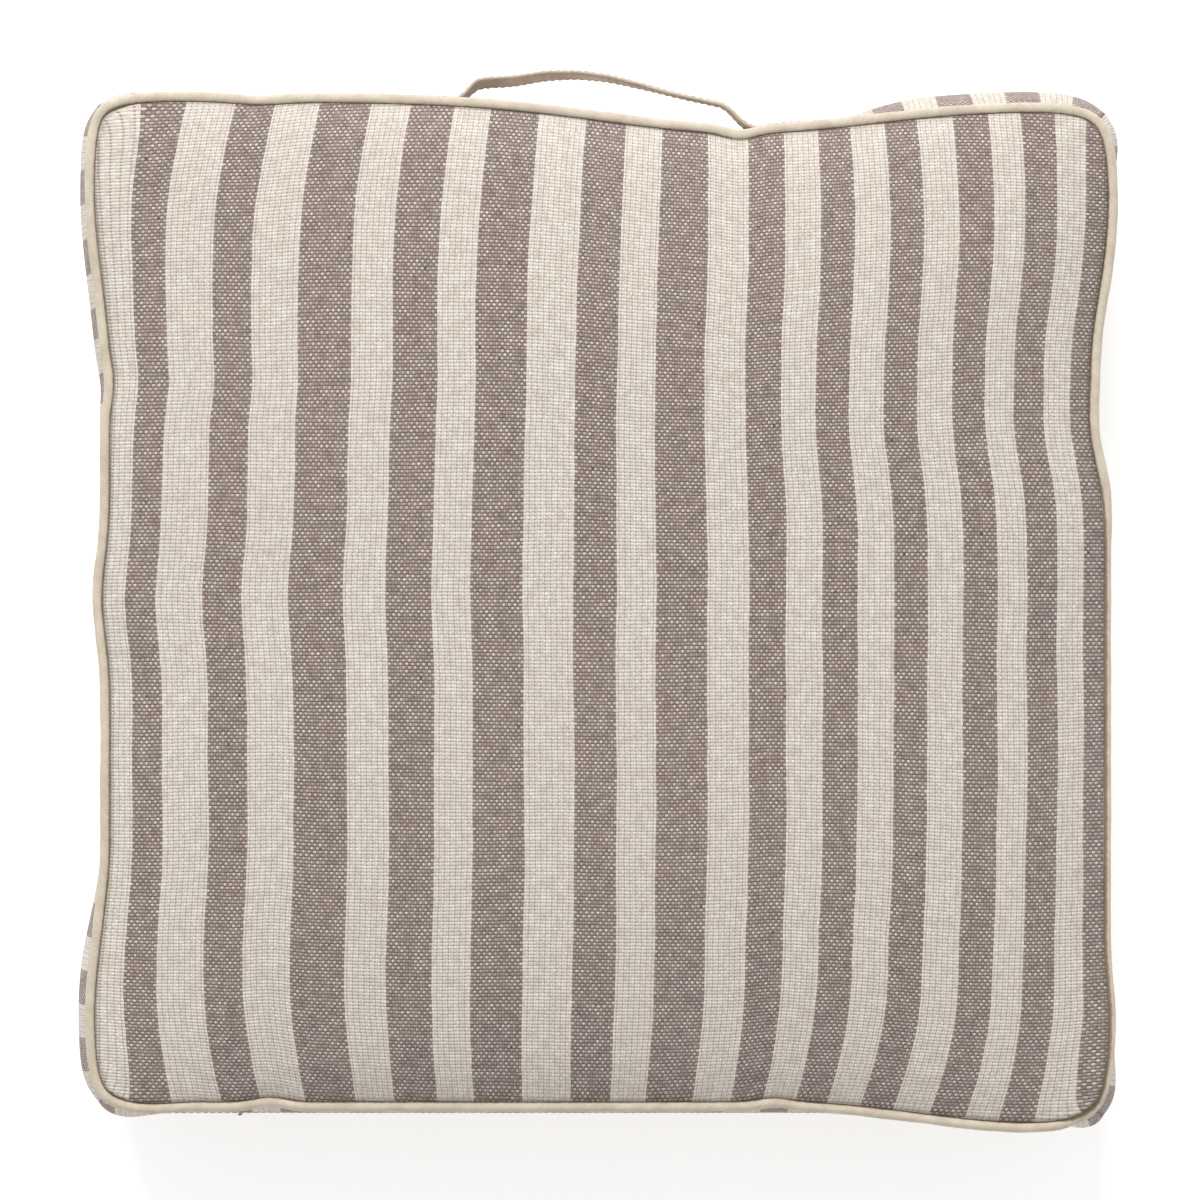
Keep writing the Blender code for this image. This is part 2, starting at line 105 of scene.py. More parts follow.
# %% [markdown]
# ## Shader sums
# A woven finish is mostly arithmetic on two coordinates. One small class wraps an output socket so
# that this arithmetic reads as plain Python: each sign adds its Math node to the material.

# %% Wires
class Wire:
    """An output socket of a material. Arithmetic on it adds Math nodes."""

    def __init__(self, finish, socket):
        self.finish, self.socket = finish, socket

    def math(self, operation, *others, first=None):
        values = [self, *others] if first is None else [first, self]
        return self.finish.node("Math", {"operation": operation}, dict(enumerate(values)))

    def __rsub__(self, other):
        return self.math("SUBTRACT", first=other)

    def clamp(self):
        return self.most(0.0).least(1.0)

    def ease(self, low, high):
        """0 below low, 1 above high, and a smooth step between."""
        settings = {"interpolation_type": "SMOOTHSTEP"}
        return self.finish.node("MapRange", settings, {0: self, 1: low, 2: high, 3: 0.0, 4: 1.0})


OPERATIONS = {"__add__": "ADD", "__radd__": "ADD", "__mul__": "MULTIPLY", "__rmul__": "MULTIPLY",
              "__sub__": "SUBTRACT", "__truediv__": "DIVIDE", "__pow__": "POWER",
              "__gt__": "GREATER_THAN", "__lt__": "LESS_THAN", "floor": "FLOOR",
              "abs": "ABSOLUTE", "mod": "FLOORED_MODULO", "sin": "SINE", "most": "MAXIMUM",
              "least": "MINIMUM"}


def adds_node(operation):
    """A method that adds one Math node."""
    return lambda wire, *others: wire.math(operation, *others)


for sign, operation in OPERATIONS.items():
    setattr(Wire, sign, adds_node(operation))
print("a wire knows", len(OPERATIONS), "signs and functions")


# %% Finishes
class Finish:
    """A material in the making, with one way to add any node."""

    def __init__(self, name, colour=(0.8, 0.8, 0.8), roughness=0.8, metallic=0.0, **sockets):
        self.material = bpy.data.materials.new(name)
        self.material.use_nodes = True
        self.tree = self.material.node_tree
        self.shader = self.tree.nodes["Principled BSDF"]
        self.set("Base Color", (*colour, 1.0))
        self.set("Roughness", roughness)
        self.set("Metallic", metallic)
        for socket, value in sockets.items():
            self.set(socket.replace("_", " "), value)

    def plug(self, socket, value):
        if isinstance(value, Wire):
            self.tree.links.new(value.socket, socket)
        elif hasattr(socket.default_value, "__len__") and len(value) < len(socket.default_value):
            socket.default_value = (*value, 1.0)
        else:
            socket.default_value = value

    def node(self, kind, settings=None, sockets=None, out=0):
        made = self.tree.nodes.new("ShaderNode" + kind)
        for setting, value in (settings or {}).items():
            if setting == "stops":
                self.set_stops(made.color_ramp, value)
            else:
                setattr(made, setting, value)
        for socket, value in (sockets or {}).items():
            self.plug(made.inputs[socket], value)
        return Wire(self, made.outputs[out])

    def set_stops(self, ramp, stops):
        ramp.interpolation = stops[0]
        while len(ramp.elements) > 1:
            ramp.elements.remove(ramp.elements[-1])
        for place, colour in stops[1:]:
            stop = ramp.elements[0] if place == stops[1][0] else ramp.elements.new(place)
            stop.position, stop.color = place, (*colour, 1.0)

    def set(self, socket, value):
        self.plug(self.shader.inputs[socket], value)

    def mix(self, share, one, other):
        """A colour between one and other."""
        return self.node("Mix", {"data_type": "RGBA"}, {0: share, 6: one, 7: other}, out=2)

    def vector(self, x, y, z=0.0):
        return self.node("CombineXYZ", None, {0: x, 1: y, 2: z})

    def parts(self, vector):
        """The three numbers of a vector."""
        split = self.tree.nodes.new("ShaderNodeSeparateXYZ")
        self.plug(split.inputs[0], vector)
        return [Wire(self, output) for output in split.outputs]

    def noise(self, where, scale, detail=2.0, roughness=0.5):
        sockets = {"Vector": where, "Scale": scale, "Detail": detail, "Roughness": roughness}
        return self.node("TexNoise", None, sockets)

    def bump(self, height, distance, strength=1.0):
        sockets = {"Height": height, "Distance": distance, "Strength": strength}
        self.set("Normal", self.node("Bump", None, sockets))

    def cloth_place(self):
        """Where a point lies on the flat cloth, in metres: across the warp, and along it."""
        return self.node("UVMap", {"uv_map": "fabric"})

    def object_place(self):
        return self.node("TexCoord", None, None, out=3)


print("shader helpers ready")

# %% [markdown]
# ## Surfaces from arrays
# Each new piece is a net of points: rows and columns worked out at once, then joined by quads. A
# net can close on itself either way round, and it carries its place on the flat cloth as a UV map,
# so that the weave follows the cloth wherever it is pulled.

# %% Nets
def unit(vectors):
    """Vectors of length 1 along the last axis."""
    return vectors / np.linalg.norm(vectors, axis=-1, keepdims=True)


def way_along(points):
    """How far along a line each of its points lies."""
    steps = np.linalg.norm(np.diff(points, axis=0), axis=1)
    return np.concatenate([[0], np.cumsum(steps)])


def squarer(value, power):
    """The size raised to a power, with its sign kept. Below 1 it squares off a circle's sines."""
    return np.sign(value) * np.abs(value) ** power


def net_faces(rows, columns, round_rows=False, round_columns=False):
    """Corner numbers of the quads between neighbouring points of a net, as (faces, 4)."""
    r = np.arange(rows if round_rows else rows - 1)
    c = np.arange(columns if round_columns else columns - 1)
    r, c = np.meshgrid(r, c, indexing="ij")
    below, right = (r + 1) % rows, (c + 1) % columns
    corners = [r * columns + c, r * columns + right, below * columns + right, below * columns + c]
    wide = columns + round_columns
    marks = [r * wide + c, r * wide + c + 1, (r + 1) * wide + c + 1, (r + 1) * wide + c]
    return np.stack(corners, -1).reshape(-1, 4), np.stack(marks, -1).reshape(-1, 4)


def net(points, cloth=None, round_rows=False, round_columns=False, flip=False):
    """One net: points (rows, columns, 3), and its cloth places, one row or column longer where it
    closes on itself. flip turns its faces over."""
    rows, columns = points.shape[:2]
    faces, marks = net_faces(rows, columns, round_rows, round_columns)
    if cloth is None:
        cloth = np.zeros((rows + round_rows, columns + round_columns, 2))
    if flip:
        faces, marks = faces[:, ::-1], marks[:, ::-1]
    return points.reshape(-1, 3), faces, cloth.reshape(-1, 2)[marks]


def piece(name, nets, finish):
    """One object from one or more nets. Quads whose last two corners agree become triangles."""
    first, points, faces, cloth = 0, [], [], []
    for spots, corners, places in nets:
        points.append(spots)
        faces.append(corners + first)
        cloth.append(places)
        first += len(spots)
    points, faces, cloth = (np.concatenate(part) for part in (points, faces, cloth))
    kept = np.ones(faces.shape, bool)
    kept[:, 3] = faces[:, 2] != faces[:, 3]
    mesh = bpy.data.meshes.new(name)
    mesh.vertices.add(len(points))
    mesh.vertices.foreach_set("co", points.ravel().astype(np.float32))
    mesh.loops.add(int(kept.sum()))
    mesh.loops.foreach_set("vertex_index", faces[kept].astype(np.int32))
    mesh.polygons.add(len(faces))
    starts = np.cumsum(kept.sum(1)) - kept.sum(1)
    mesh.polygons.foreach_set("loop_start", starts.astype(np.int32))
    mesh.update(calc_edges=True)
    spread = mesh.uv_layers.new(name="fabric")
    spread.data.foreach_set("uv", cloth[kept].reshape(-1).astype(np.float32))
    mesh.shade_smooth()
    mesh.materials.append(finish.material)
    made = bpy.data.objects.new(name, mesh)
    scene.collection.objects.link(made)
    print(name, len(mesh.polygons), "faces")
    return made


print("a net of 3 by 4 points has", len(net_faces(3, 4)[0]), "faces")


# %% Seats and modifiers
def seat(made, body="cushion", instead_of=()):
    """Sets a finished piece on its body, in the place of CAD nodes."""
    if body:
        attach(made, body)
    if instead_of:
        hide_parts(*instead_of)
    return made


def finer(made, levels=1):
    """Subdivision of a net, the same in every view."""
    step = made.modifiers.new("finer", "SUBSURF")
    step.levels = step.render_levels = levels
    return made


def thicken(made, thickness):
    """A wall inwards from the surface, closed along the net's edges."""
    step = made.modifiers.new("thickness", "SOLIDIFY")
    step.thickness, step.offset = thickness, -1.0
    return made


def pivot_of(name):
    """A point on a joint's axis."""
    return np.array(next(joint for joint in frame["joints"] if joint["name"] == name)["pos_m"])


# %% [markdown]
# ## The heights and the zip's plane
# Every height comes from the model: the middle of each piping is the seam that joins a face panel
# to the boxing, the band round the side. The zip's line lies half way between them.

# %% Heights read from the model
def middle_of(node):
    """The middle of a node's box, as three numbers."""
    low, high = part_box(node)
    return (np.array(low) + np.array(high)) / 2


UPPER = middle_of("piping_cover_top")[2]
LOWER = middle_of("piping_cover_bottom")[2]
MIDDLE = (UPPER + LOWER) / 2
COIL_LOW, COIL_HIGH = (np.array(corner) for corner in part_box("zip_coil_upper"))
ZIP_FACE = COIL_HIGH[1] - 1.0 * MM   # outer face of the boxing where the zip runs
PIPING = 2.55 * MM                   # radius of the piping
CLOTH = 0.9 * MM                     # thickness of the striped cloth
EDGE = 1.0 * MM                      # from a seam's middle up or down to a panel's edge
FULL_EDGE = 1.8 * MM                 # the same for the top, which swells over its piping
print("seams at", round(LOWER / MM, 1), "and", round(UPPER / MM, 1), "mm, zip face", ZIP_FACE)

# %% [markdown]
# ## The plan of the seam
# A sewn square is never square. Its corners stand out, its sides sway, and every pull of the
# thread draws the seam in a little, with a gather in the cloth beside it. The plan says how far
# each side reaches at each place, and everything else on the cushion is measured from it.

# %% Reach of the four sides
def dip(at, centre, width, depth):
    """A soft pull: depth times e to the power of minus ((at - centre) / width) squared."""
    return depth * np.exp(-(((at - centre) / width) ** 2))


def rise(at, start, run, amount):
    """Nothing before start, then amount times (3 s^2 - 2 s^3), where s goes from 0 to 1 over run."""
    share = np.clip((at - start) / run, 0, 1)
    return amount * share * share * (3 - 2 * share)


def reach_left(y):
    flares = rise(abs(y), 0.110, 0.090, 7.5 * MM) + dip(y, 0.005, 0.026, 3.8 * MM)
    return 237.3 * MM + flares - dip(y, 0.106, 0.012, 2 * MM)


def reach_right(y):
    pulls = dip(y, 0.086, 0.026, 6 * MM) + dip(y, 0.125, 0.030, 5.5 * MM)
    flares = rise(y, 0.150, 0.050, 2.2 * MM) + rise(-y, 0.150, 0.045, 2.8 * MM)
    return 239.4 * MM + flares - pulls


def reach_handle_side(x):
    slant = 0.0093 * x
    pulls = dip(x, 0.064, 0.090, 13 * MM) + dip(x, 0.064, 0.010, 3 * MM)
    return 242 * MM - slant - pulls - dip(x, -0.162, 0.016, 1.5 * MM)


def reach_zip_side(x):
    flares = rise(x, 0.085, 0.130, 11 * MM) + rise(-x, 0.190, 0.030, 2 * MM)
    return 235.8 * MM + flares - dip(x, -0.157, 0.010, 2.5 * MM) - dip(x, 0.080, 0.010, 2 * MM)


NOMINAL = 239 * MM                # half the cushion's width, about which the sides sway
print("right side reaches", round(float(reach_right(0.0)) / MM, 1), "mm half way along")

# %% Corners and the whole plan
# For each corner, how far it is drawn in and how tight its turn is: (share of the half width, power)
CORNERS = {(-1, 1): (0.0245, 20), (1, 1): (0.029, 17), (-1, -1): (0.028, 17.5), (1, -1): (0.0345, 14)}


def rounded(a, b):
    """The unit square with soft corners: both numbers shrink by draw * |a b| to a power."""
    shrink = np.ones(np.broadcast(a, b).shape)
    for (side, end), (draw, power) in CORNERS.items():
        here = (a * side > 0) & (b * end > 0)
        shrink = shrink - np.where(here, draw * np.abs(a * b) ** power, 0)
    return a * shrink, b * shrink


def plan(a, b):
    """x and y of the cushion for a and b from -1 to 1, out to the seam."""
    u, v = rounded(a, b)
    x = u * np.where(u > 0, reach_right(v * NOMINAL), reach_left(v * NOMINAL))
    y = v * np.where(v > 0, reach_handle_side(u * NOMINAL), reach_zip_side(u * NOMINAL))
    return x, y


def round_the_edge(count):
    """a and b on the way round the square, count stations to a side, from the zip side's left end."""
    along = np.linspace(-1, 1, count + 1)[:-1]
    one = np.ones(count)
    a = np.concatenate([along, one, -along, -one])
    b = np.concatenate([-one, along, one, -along])
    return a, b


def seam(count):
    """The closed seam line: its points in plan, and the unit direction out of the cushion."""
    line = np.stack(plan(*round_the_edge(count)), -1)
    ahead = np.roll(line, -1, 0) - np.roll(line, 1, 0)
    out = np.stack([ahead[:, 1], -ahead[:, 0]], -1)
    return line, unit(out)


def upper_seam(x, y):
    """Height of the upper seam: it waves by about a millimetre."""
    return UPPER + MM * (0.7 * np.sin(31 * x + 17 * y) + 0.5 * np.sin(13 * x - 41 * y + 1))


def lower_seam(x, y):
    return LOWER + MM * (0.35 * np.sin(23 * x - 19 * y + 2) + 0.25 * np.sin(37 * x + 11 * y))


def lifted(points, height):
    """Points in plan with their heights, or with one height for all."""
    height = np.broadcast_to(height, points.shape[:-1])
    return np.concatenate([points, height[..., None]], -1)


SIDES = ("zip_side", "right", "handle_side", "left")
line = seam(100)[0]
print("seam round about", round(np.linalg.norm(np.diff(line, axis=0), axis=1).sum(), 3), "m")

# %% [markdown]
# ## The cut and sewn cover
# A cover is cut flat and a little full, sewn along the seams, and pushed out by its pad. The same
# is done here with Blender's Cloth: flat cuts are held along the seams and pressed from inside, so
# gathers come where the seam pulls in. The bottom lies on the floor and needs no such help.

# %% Flat cuts and their first shape
CUT = 247.5 * MM                  # half the width of a face panel's cut, without seam allowance
CELLS = 96                        # cells along a face panel's side
BANDS = 16                        # cells across the boxing
CROWN = 22 * MM                   # first rise of the top, before the cloth settles


def gather(a, b):
    """How far the cloth is drawn along the handle side's and the zip side's seams, in metres."""
    x = a * NOMINAL
    at_handle = 17.8 * MM * np.clip((0.05 - x) / 0.23, 0, 1) ** 0.8 - dip(x, 0.165, 0.060, 5.8 * MM)
    at_zip = dip(x, -0.200, 0.110, 11.2 * MM) - dip(x, 0.170, 0.130, 17.0 * MM)
    loose = 1 - np.abs(a) ** 40
    return loose * (at_handle * np.clip(b, 0, 1) ** 3 + at_zip * np.clip(-b, 0, 1) ** 5)


def face_grid(cells):
    lines = np.linspace(-1, 1, cells + 1)
    return np.meshgrid(lines, lines, indexing="xy")


def top_start():
    """First shape of the top: the plan, with a height of CROWN ((1-a^4)(1-b^4))^0.6 over the seam."""
    a, b = face_grid(CELLS)
    x, y = plan(a + gather(a, b) / NOMINAL, b)
    dome = ((1 - a**4) * (1 - b**4)) ** 0.6
    flat = np.stack([*rounded(a, b), 0 * a], -1) * CUT
    return np.stack([x, y, upper_seam(x, y) + FULL_EDGE + CROWN * dome], -1), flat


def bulge(side, along):
    """How far the boxing swells out at half height, for along from -1 to 1."""
    if side == "left":
        return 8 * MM + rise(-along, 0.25, 0.3, 3.0 * MM) + rise(along, 0.50, 0.25, 4 * MM)
    if side == "right":
        return np.full(along.shape, 6.4 * MM)
    return 6 * MM + rise(-along, 0.40, 0.25, 8 * MM)


def side_line(side, count):
    """Points, outward directions and the numbers from -1 to 1 along one side's seam."""
    points, out = seam(count)
    first = SIDES.index(side) * count
    take = (first + np.arange(count + 1)) % len(points)
    return points[take], out[take], np.linspace(-1, 1, count + 1)


def swell(share):
    """Cross curve of the boxing: 1 - |2 share - 1| to the 2.4th."""
    return 1 - np.abs(2 * share - 1) ** 2.4


def corner_tuck(along):
    """The boxing turns in to the upright seam at each corner: 1.2 mm at the very end."""
    return 1.2 * MM * np.exp(-(1 - np.abs(along)) / 0.012)


# How far the boxing swells at each side's first and last corner, on the way round
CORNER_BULGE = {"zip_side": (13 * MM, 13 * MM), "right": (13 * MM, 14 * MM),
                "handle_side": (14 * MM, 12 * MM), "left": (12 * MM, 13 * MM)}


def towards_corners(side, along, amount):
    """A side's amount, led over to the amount that both sides share at each corner."""
    start, end = CORNER_BULGE[side]
    share = rise(np.abs(along), 0.85, 0.15, 1.0)
    return amount * (1 - share) + np.where(along < 0, start, end) * share


def boxing_start(side):
    """First shape of one side's boxing, and its flat cut. The cut is as tall as the arc over the
    bulge: h (1 + 8/3 (bulge / h)^2), where h is the height between the seams."""
    points, out, along = side_line(side, CELLS)
    share = np.linspace(0, 1, BANDS + 1)[:, None]
    amount = towards_corners(side, along, bulge(side, along))
    low = lower_seam(*points.T) + EDGE
    high = upper_seam(*points.T) - EDGE
    away = amount * swell(share) - corner_tuck(along) * np.minimum(1, 12 * share * (1 - share))
    spot = points[None] + out[None] * away[..., None]
    height = low + share * (high - low)
    tall = (high - low) * (1 + 8 / 3 * (amount / (high - low)) ** 2)
    flat = np.stack([along * CUT + 0 * share, share * tall, 0 * share + 0 * along], -1)
    return lifted(spot, height), flat


top_shape, top_flat = top_start()
side_shapes = {side: boxing_start(side) for side in SIDES[1:]}
print("top crown", round((top_shape[..., 2].max() - UPPER) / MM, 1), "mm before it is pressed out")

# %% The cloth under pressure
PRESSURE = 2.3                    # from inside, in the Cloth's own units
FRAMES = 22                       # time in which the cloth settles


def pressed(parts):
    """Presses the cuts out from inside. Their edges stay on the seams. Parts are (shape, flat)."""
    shapes = [shape for shape, _ in parts]
    nets = [net(shape) for shape in shapes]
    work = piece("cover_cuts", nets, Finish("working"))
    flats = np.concatenate([flat.reshape(-1, 3) for _, flat in parts])
    work.shape_key_add(name="sewn")
    cut = work.shape_key_add(name="cut")
    cut.data.foreach_set("co", flats.ravel().astype(np.float32))
    held = []
    for shape in shapes:
        rim = np.ones(shape.shape[:2], bool)
        rim[1:-1, 1:-1] = False
        held.append(rim.ravel())
    group = work.vertex_groups.new(name="seams")
    group.add(np.flatnonzero(np.concatenate(held)).tolist(), 1.0, "REPLACE")
    step = work.modifiers.new("cloth", "CLOTH")
    cloth = step.settings
    cloth.quality, cloth.mass, cloth.air_damping = 8, 0.15, 1.0
    cloth.tension_stiffness, cloth.compression_stiffness = 25, 12
    cloth.shear_stiffness, cloth.bending_stiffness = 8, 0.5
    cloth.tension_damping = cloth.compression_damping = cloth.shear_damping = 5
    cloth.bending_damping = 0.5
    cloth.vertex_group_mass = "seams"
    cloth.pin_stiffness = 1
    cloth.rest_shape_key = cut
    cloth.use_pressure, cloth.uniform_pressure_force = True, PRESSURE
    cloth.effector_weights.gravity = 0
    step.collision_settings.use_collision = False
    step.point_cache.frame_end = FRAMES
    for moment in range(1, FRAMES + 1):
        scene.frame_set(moment)
    shown = work.evaluated_get(bpy.context.evaluated_depsgraph_get()).data
    spots = np.zeros(len(shown.vertices) * 3, np.float32)
    shown.vertices.foreach_get("co", spots)
    bpy.data.objects.remove(work, do_unlink=True)
    scene.frame_set(1)
    cuts = np.cumsum([shape.shape[0] * shape.shape[1] for shape in shapes])[:-1]
    return [part.reshape(shape.shape) for part, shape in
            zip(np.split(spots.reshape(-1, 3).astype(float), cuts), shapes)]


def relaxed(points, times):
    """Each inner point moves half way to the mean of its four neighbours, some times over."""
    for _ in range(times):
        inner = (points[:-2, 1:-1] + points[2:, 1:-1] + points[1:-1, :-2] + points[1:-1, 2:]) / 4
        points[1:-1, 1:-1] = (points[1:-1, 1:-1] + inner) / 2
    return points


def puckers(points):
    """Small folds that run in from the zip side's seam and die out over 16 mm, as a height: the sine
    of x in waves of 21 mm, strongest where the seam pulls in, and none on the seam itself."""
    x, y = points[..., 0], points[..., 1]
    inwards = np.maximum(y - y[:1], 0)
    reach = np.exp(-inwards / (16 * MM)) * (1 - np.exp(-inwards / (5 * MM)))
    pull = 0.3 * MM + dip(x, 0.085, 0.040, 1.6 * MM) + dip(x, -0.157, 0.030, 1.5 * MM)
    return pull * reach * np.sin(2 * math.pi * (x + 0.25 * inwards) / (21 * MM))


results = pressed([(top_shape, top_flat)] + [side_shapes[side] for side in SIDES[1:]])
top_shape = relaxed(results[0], 3)
for side, result in zip(SIDES[1:], results[1:]):
    side_shapes[side] = (relaxed(result, 2), side_shapes[side][1])
top_shape[..., 2] += puckers(top_shape)
print("top settled at", round(top_shape[..., 2].max() / MM, 1), "mm")

# %% [markdown]
# ## The striped cloth
# The cloth is a plain weave of thick yarns. Its warp is dyed in stripes, taupe and cream, and its
# weft is cream all over. In a taupe stripe the weft shows as rows of small cream dots, set like
# bricks. In a cream stripe only the pinholes between the yarns show. The dyed yarn is spun from
# waste fibres, so bright and dark flecks are caught in it.

# %% Stripe plans
WARP = 1.39 * MM                  # width of one warp yarn, two ends side by side
PICK = 1.77 * MM                  # height of one weft pick
NARROW = 16.6 * MM                # width of every stripe on the boxing
FIRST_CREAM = 11.5                # widths on the face panel, in mm from its left edge
WIDTHS = (14.5, 23.0, 19.5, 24.0, 25.5, 21.5, 22.0, 19.0, 25.0, 25.0, 22.0, 19.0, 25.0, 22.0,
          17.0, 18.0, 16.5, 18.0, 16.5, 17.5, 17.5, 16.0, 15.5, 12.5, 14.0)


def stripe_stops():
    """The face panel's stripes as steps from its left edge, dyed and cream by turns."""
    edges = np.cumsum([FIRST_CREAM, *WIDTHS]) * MM / (2 * CUT)
    stops = [(0.0, (0, 0, 0))]
    for number, edge in enumerate(edges):
        shade = (1, 1, 1) if number % 2 == 0 else (0, 0, 0)
        stops.append((min(float(edge), 0.9999), shade))
    return ("CONSTANT", *stops)


def dyed_share(finish, across, narrow):
    """1 on dyed warp and 0 on cream, for a place across the cloth in metres."""
    if narrow:
        return (across / NARROW).mod(2.0) > 1.0
    ramp = finish.node("ValToRGB", {"stops": stripe_stops()}, {0: across / (2 * CUT) + 0.5})
    return ramp > 0.5


print("face panel: a cream edge, then", len(WIDTHS), "stripes, on", 2 * CUT, "m of cloth")


# %% The weave
def striped_cotton(name, narrow=False):
    """Plain weave on the fabric map. Column and row of each yarn come from rounding down; where
    they are odd together the weft lies on top, and elsewhere the warp does. The weft bows by
    14 mm towards the ends of the cloth, where the seams hold it back."""
    cloth = Finish(name, roughness=0.85, Sheen_Weight=0.12, Sheen_Roughness=0.5,
                   Specular_IOR_Level=0.25)
    place = cloth.cloth_place()
    across, along, _ = cloth.parts(place)
    if not narrow:
        along = along + (across / CUT) ** 2.0 * (along / CUT) ** 3.0 * (14 * MM)
    wander = cloth.noise(place, 16.0, 2.0) - 0.5
    jitter = cloth.noise(place, 150.0, 1.0) - 0.5
    across = across + wander * (2.4 * MM) + jitter * (0.55 * MM)
    drift = cloth.noise(place, 7.0, 1.0) - 0.5
    along = along + drift * (6 * MM) + jitter * (0.5 * MM)
    yarn, pick = across / WARP, along / PICK
    column, row = yarn.floor(), pick.floor()
    side = yarn - column - 0.5
    level = pick - row - 0.5
    weft_over = (column + row).mod(2.0)
    dyed = dyed_share(cloth, (column + 0.5) * WARP, narrow)
    warp_tone = cloth.noise(cloth.vector(column * 0.37, along * 120.0), 1.0, 3.0, 0.7)
    weft_tone = cloth.noise(cloth.vector(across * 150.0, row * 0.41 + 7.0), 1.0, 3.0, 0.7)

    dot = 1 - (side / 0.70) ** 2.0 - (level / 0.46) ** 2.0
    dot_mask = weft_over * dot.ease(0.0, 0.45)
    ridge = (1 - (side * 1.85) ** 2.0).most(0.0)
    float_over = ridge * (1 - (level.abs() * 1.7) ** 2.0).most(0.0)
    between_pairs = (1 - (yarn.mod(2.0) - 1.0).abs() / 0.30).most(0.0)
    hole = between_pairs * (1 - (0.5 - level.abs()) / 0.30).most(0.0)
    height = float_over * (1 - weft_over) + dot.most(0.0) * weft_over
    height = height - hole * 0.5

    rows_apart = level.abs().ease(0.27, 0.5)
    yarns_apart = side.abs().ease(0.34, 0.5)
    fuzz = cloth.noise(place, 2400.0, 2.0, 0.6)
    heather = cloth.noise(cloth.vector(across * 420.0, along * 90.0), 1.0, 3.0, 0.6)
    # Each dyed yarn's own tone, plus a painted highlight on the raised crown of each warp float.
    yarn_tone_and_highlight = (warp_tone.ease(0.28, 0.72) * 0.75 + float_over * 0.3).clamp()
    dyed_yarn = cloth.mix(yarn_tone_and_highlight, (0.155, 0.112, 0.098), (0.36, 0.28, 0.252))
    dyed_yarn = cloth.mix(heather.ease(0.52, 0.75) * 0.5, dyed_yarn, (0.33, 0.195, 0.165))
    dyed_yarn = cloth.mix((1 - heather).ease(0.52, 0.75) * 0.5, dyed_yarn, (0.19, 0.20, 0.17))
    plain_yarn = cloth.mix(warp_tone.ease(0.3, 0.72), (0.61, 0.545, 0.475), (0.80, 0.745, 0.665))
    on_cream = cloth.mix(weft_tone.ease(0.3, 0.72), (0.58, 0.51, 0.44), (0.84, 0.79, 0.715))
    on_taupe = cloth.mix(weft_tone.ease(0.3, 0.75), (0.31, 0.245, 0.22), (0.72, 0.64, 0.575))
    weft_yarn = cloth.mix(dyed, on_cream, on_taupe)

    cell = cloth.node("TexVoronoi", None, {"Vector": place, "Scale": 210.0}, out=0)
    tint = cloth.node("TexVoronoi", None, {"Vector": place, "Scale": 210.0}, out=1)
    red, green, blue = cloth.parts(tint)
    fleck = (cell < 0.10 + red * 0.12) * (green > 0.885)
    fleck_tone = ("CONSTANT", (0.0, (0.03, 0.03, 0.04)), (0.34, (0.42, 0.20, 0.10)),
                  (0.5, (0.05, 0.09, 0.20)), (0.64, (0.45, 0.12, 0.16)),
                  (0.78, (0.10, 0.24, 0.14)), (0.9, (0.03, 0.03, 0.03)))
    fleck_tone = cloth.node("ValToRGB", {"stops": fleck_tone}, {0: blue})
    warp = cloth.mix(dyed, plain_yarn, cloth.mix(fleck * 0.75, dyed_yarn, fleck_tone))
    colour = cloth.mix(dot_mask, warp, weft_yarn)
    # Painted shade: the gap colour darkens the valleys between rows and between yarns, and the
    # pinholes, where shade falls.
    gap = cloth.mix(dyed, (0.30, 0.235, 0.19), (0.085, 0.06, 0.052))
    on_dyed = (rows_apart * 0.75 + yarns_apart * 0.30) * (1 - dot_mask)
    on_plain = rows_apart * 0.26 + yarns_apart * 0.12 + between_pairs * 0.14 + hole * 0.95
    deep = on_plain + (on_dyed - on_plain) * dyed
    colour = cloth.mix((deep * (0.55 + fuzz * 0.9)).clamp(), colour, gap)
    soil = cloth.noise(place, 5.0, 3.0).ease(0.35, 0.75)
    colour = cloth.mix(soil * 0.08, colour, (0.50, 0.40, 0.36))
    # Painted shade: the cloth darkens within 1.3 mm of the panel's edge, in the groove beside the
    # piping.
    rim = cloth.node("Attribute", {"attribute_name": "rim"}, None, out=2)
    colour = cloth.mix((1 - rim / (1.3 * MM)).clamp() * 0.35, colour, (0.16, 0.11, 0.08))
    cloth.set("Base Color", colour)
    cloth.set("Roughness", 0.78 + fuzz * 0.2)
    cloth.bump(height + fuzz * 0.3 + warp_tone * 0.2, 0.38 * MM, 0.85)
    return cloth


wide_stripes = striped_cotton("striped_cotton_wide")
narrow_stripes = striped_cotton("striped_cotton_narrow", narrow=True)
print("striped cotton ready, wide and narrow")

# %% The cover's top, bottom and three plain sides
def mark_rim(made, cloth):
    """Stores each point's distance from the panel's edge on the flat cloth, for the shade painted
    along the seam.
    """
    far = np.stack([np.abs(cloth - cloth[:1]).max(-1), np.abs(cloth - cloth[-1:]).max(-1),
                    np.abs(cloth - cloth[:, :1]).max(-1), np.abs(cloth - cloth[:, -1:]).max(-1)])
    rim = made.data.attributes.new("rim", "FLOAT", "POINT")
    rim.data.foreach_set("value", far.min(0).ravel().astype(np.float32))
    return made


top_cloth = top_flat[..., :2]
cover_top = mark_rim(piece("cover_top", [net(top_shape, top_cloth)], wide_stripes), top_cloth)


def bottom_shape():
    """The underside lies on the floor and rises to its seam over the outer 14 hundredths."""
    a, b = face_grid(CELLS // 2)
    x, y = plan(a, b)
    share = np.maximum(np.abs(a), np.abs(b))
    lift = rise(share, 0.86, 0.14, 1.0)
    ripple = 0.5 * MM * (1 + np.sin(90 * x + 20 * np.sin(9 * y))) * lift * (1 - lift) * 4
    height = (lower_seam(x, y) - EDGE) * lift + ripple
    return np.stack([x, y, height], -1), np.stack(rounded(a, b), -1) * CUT


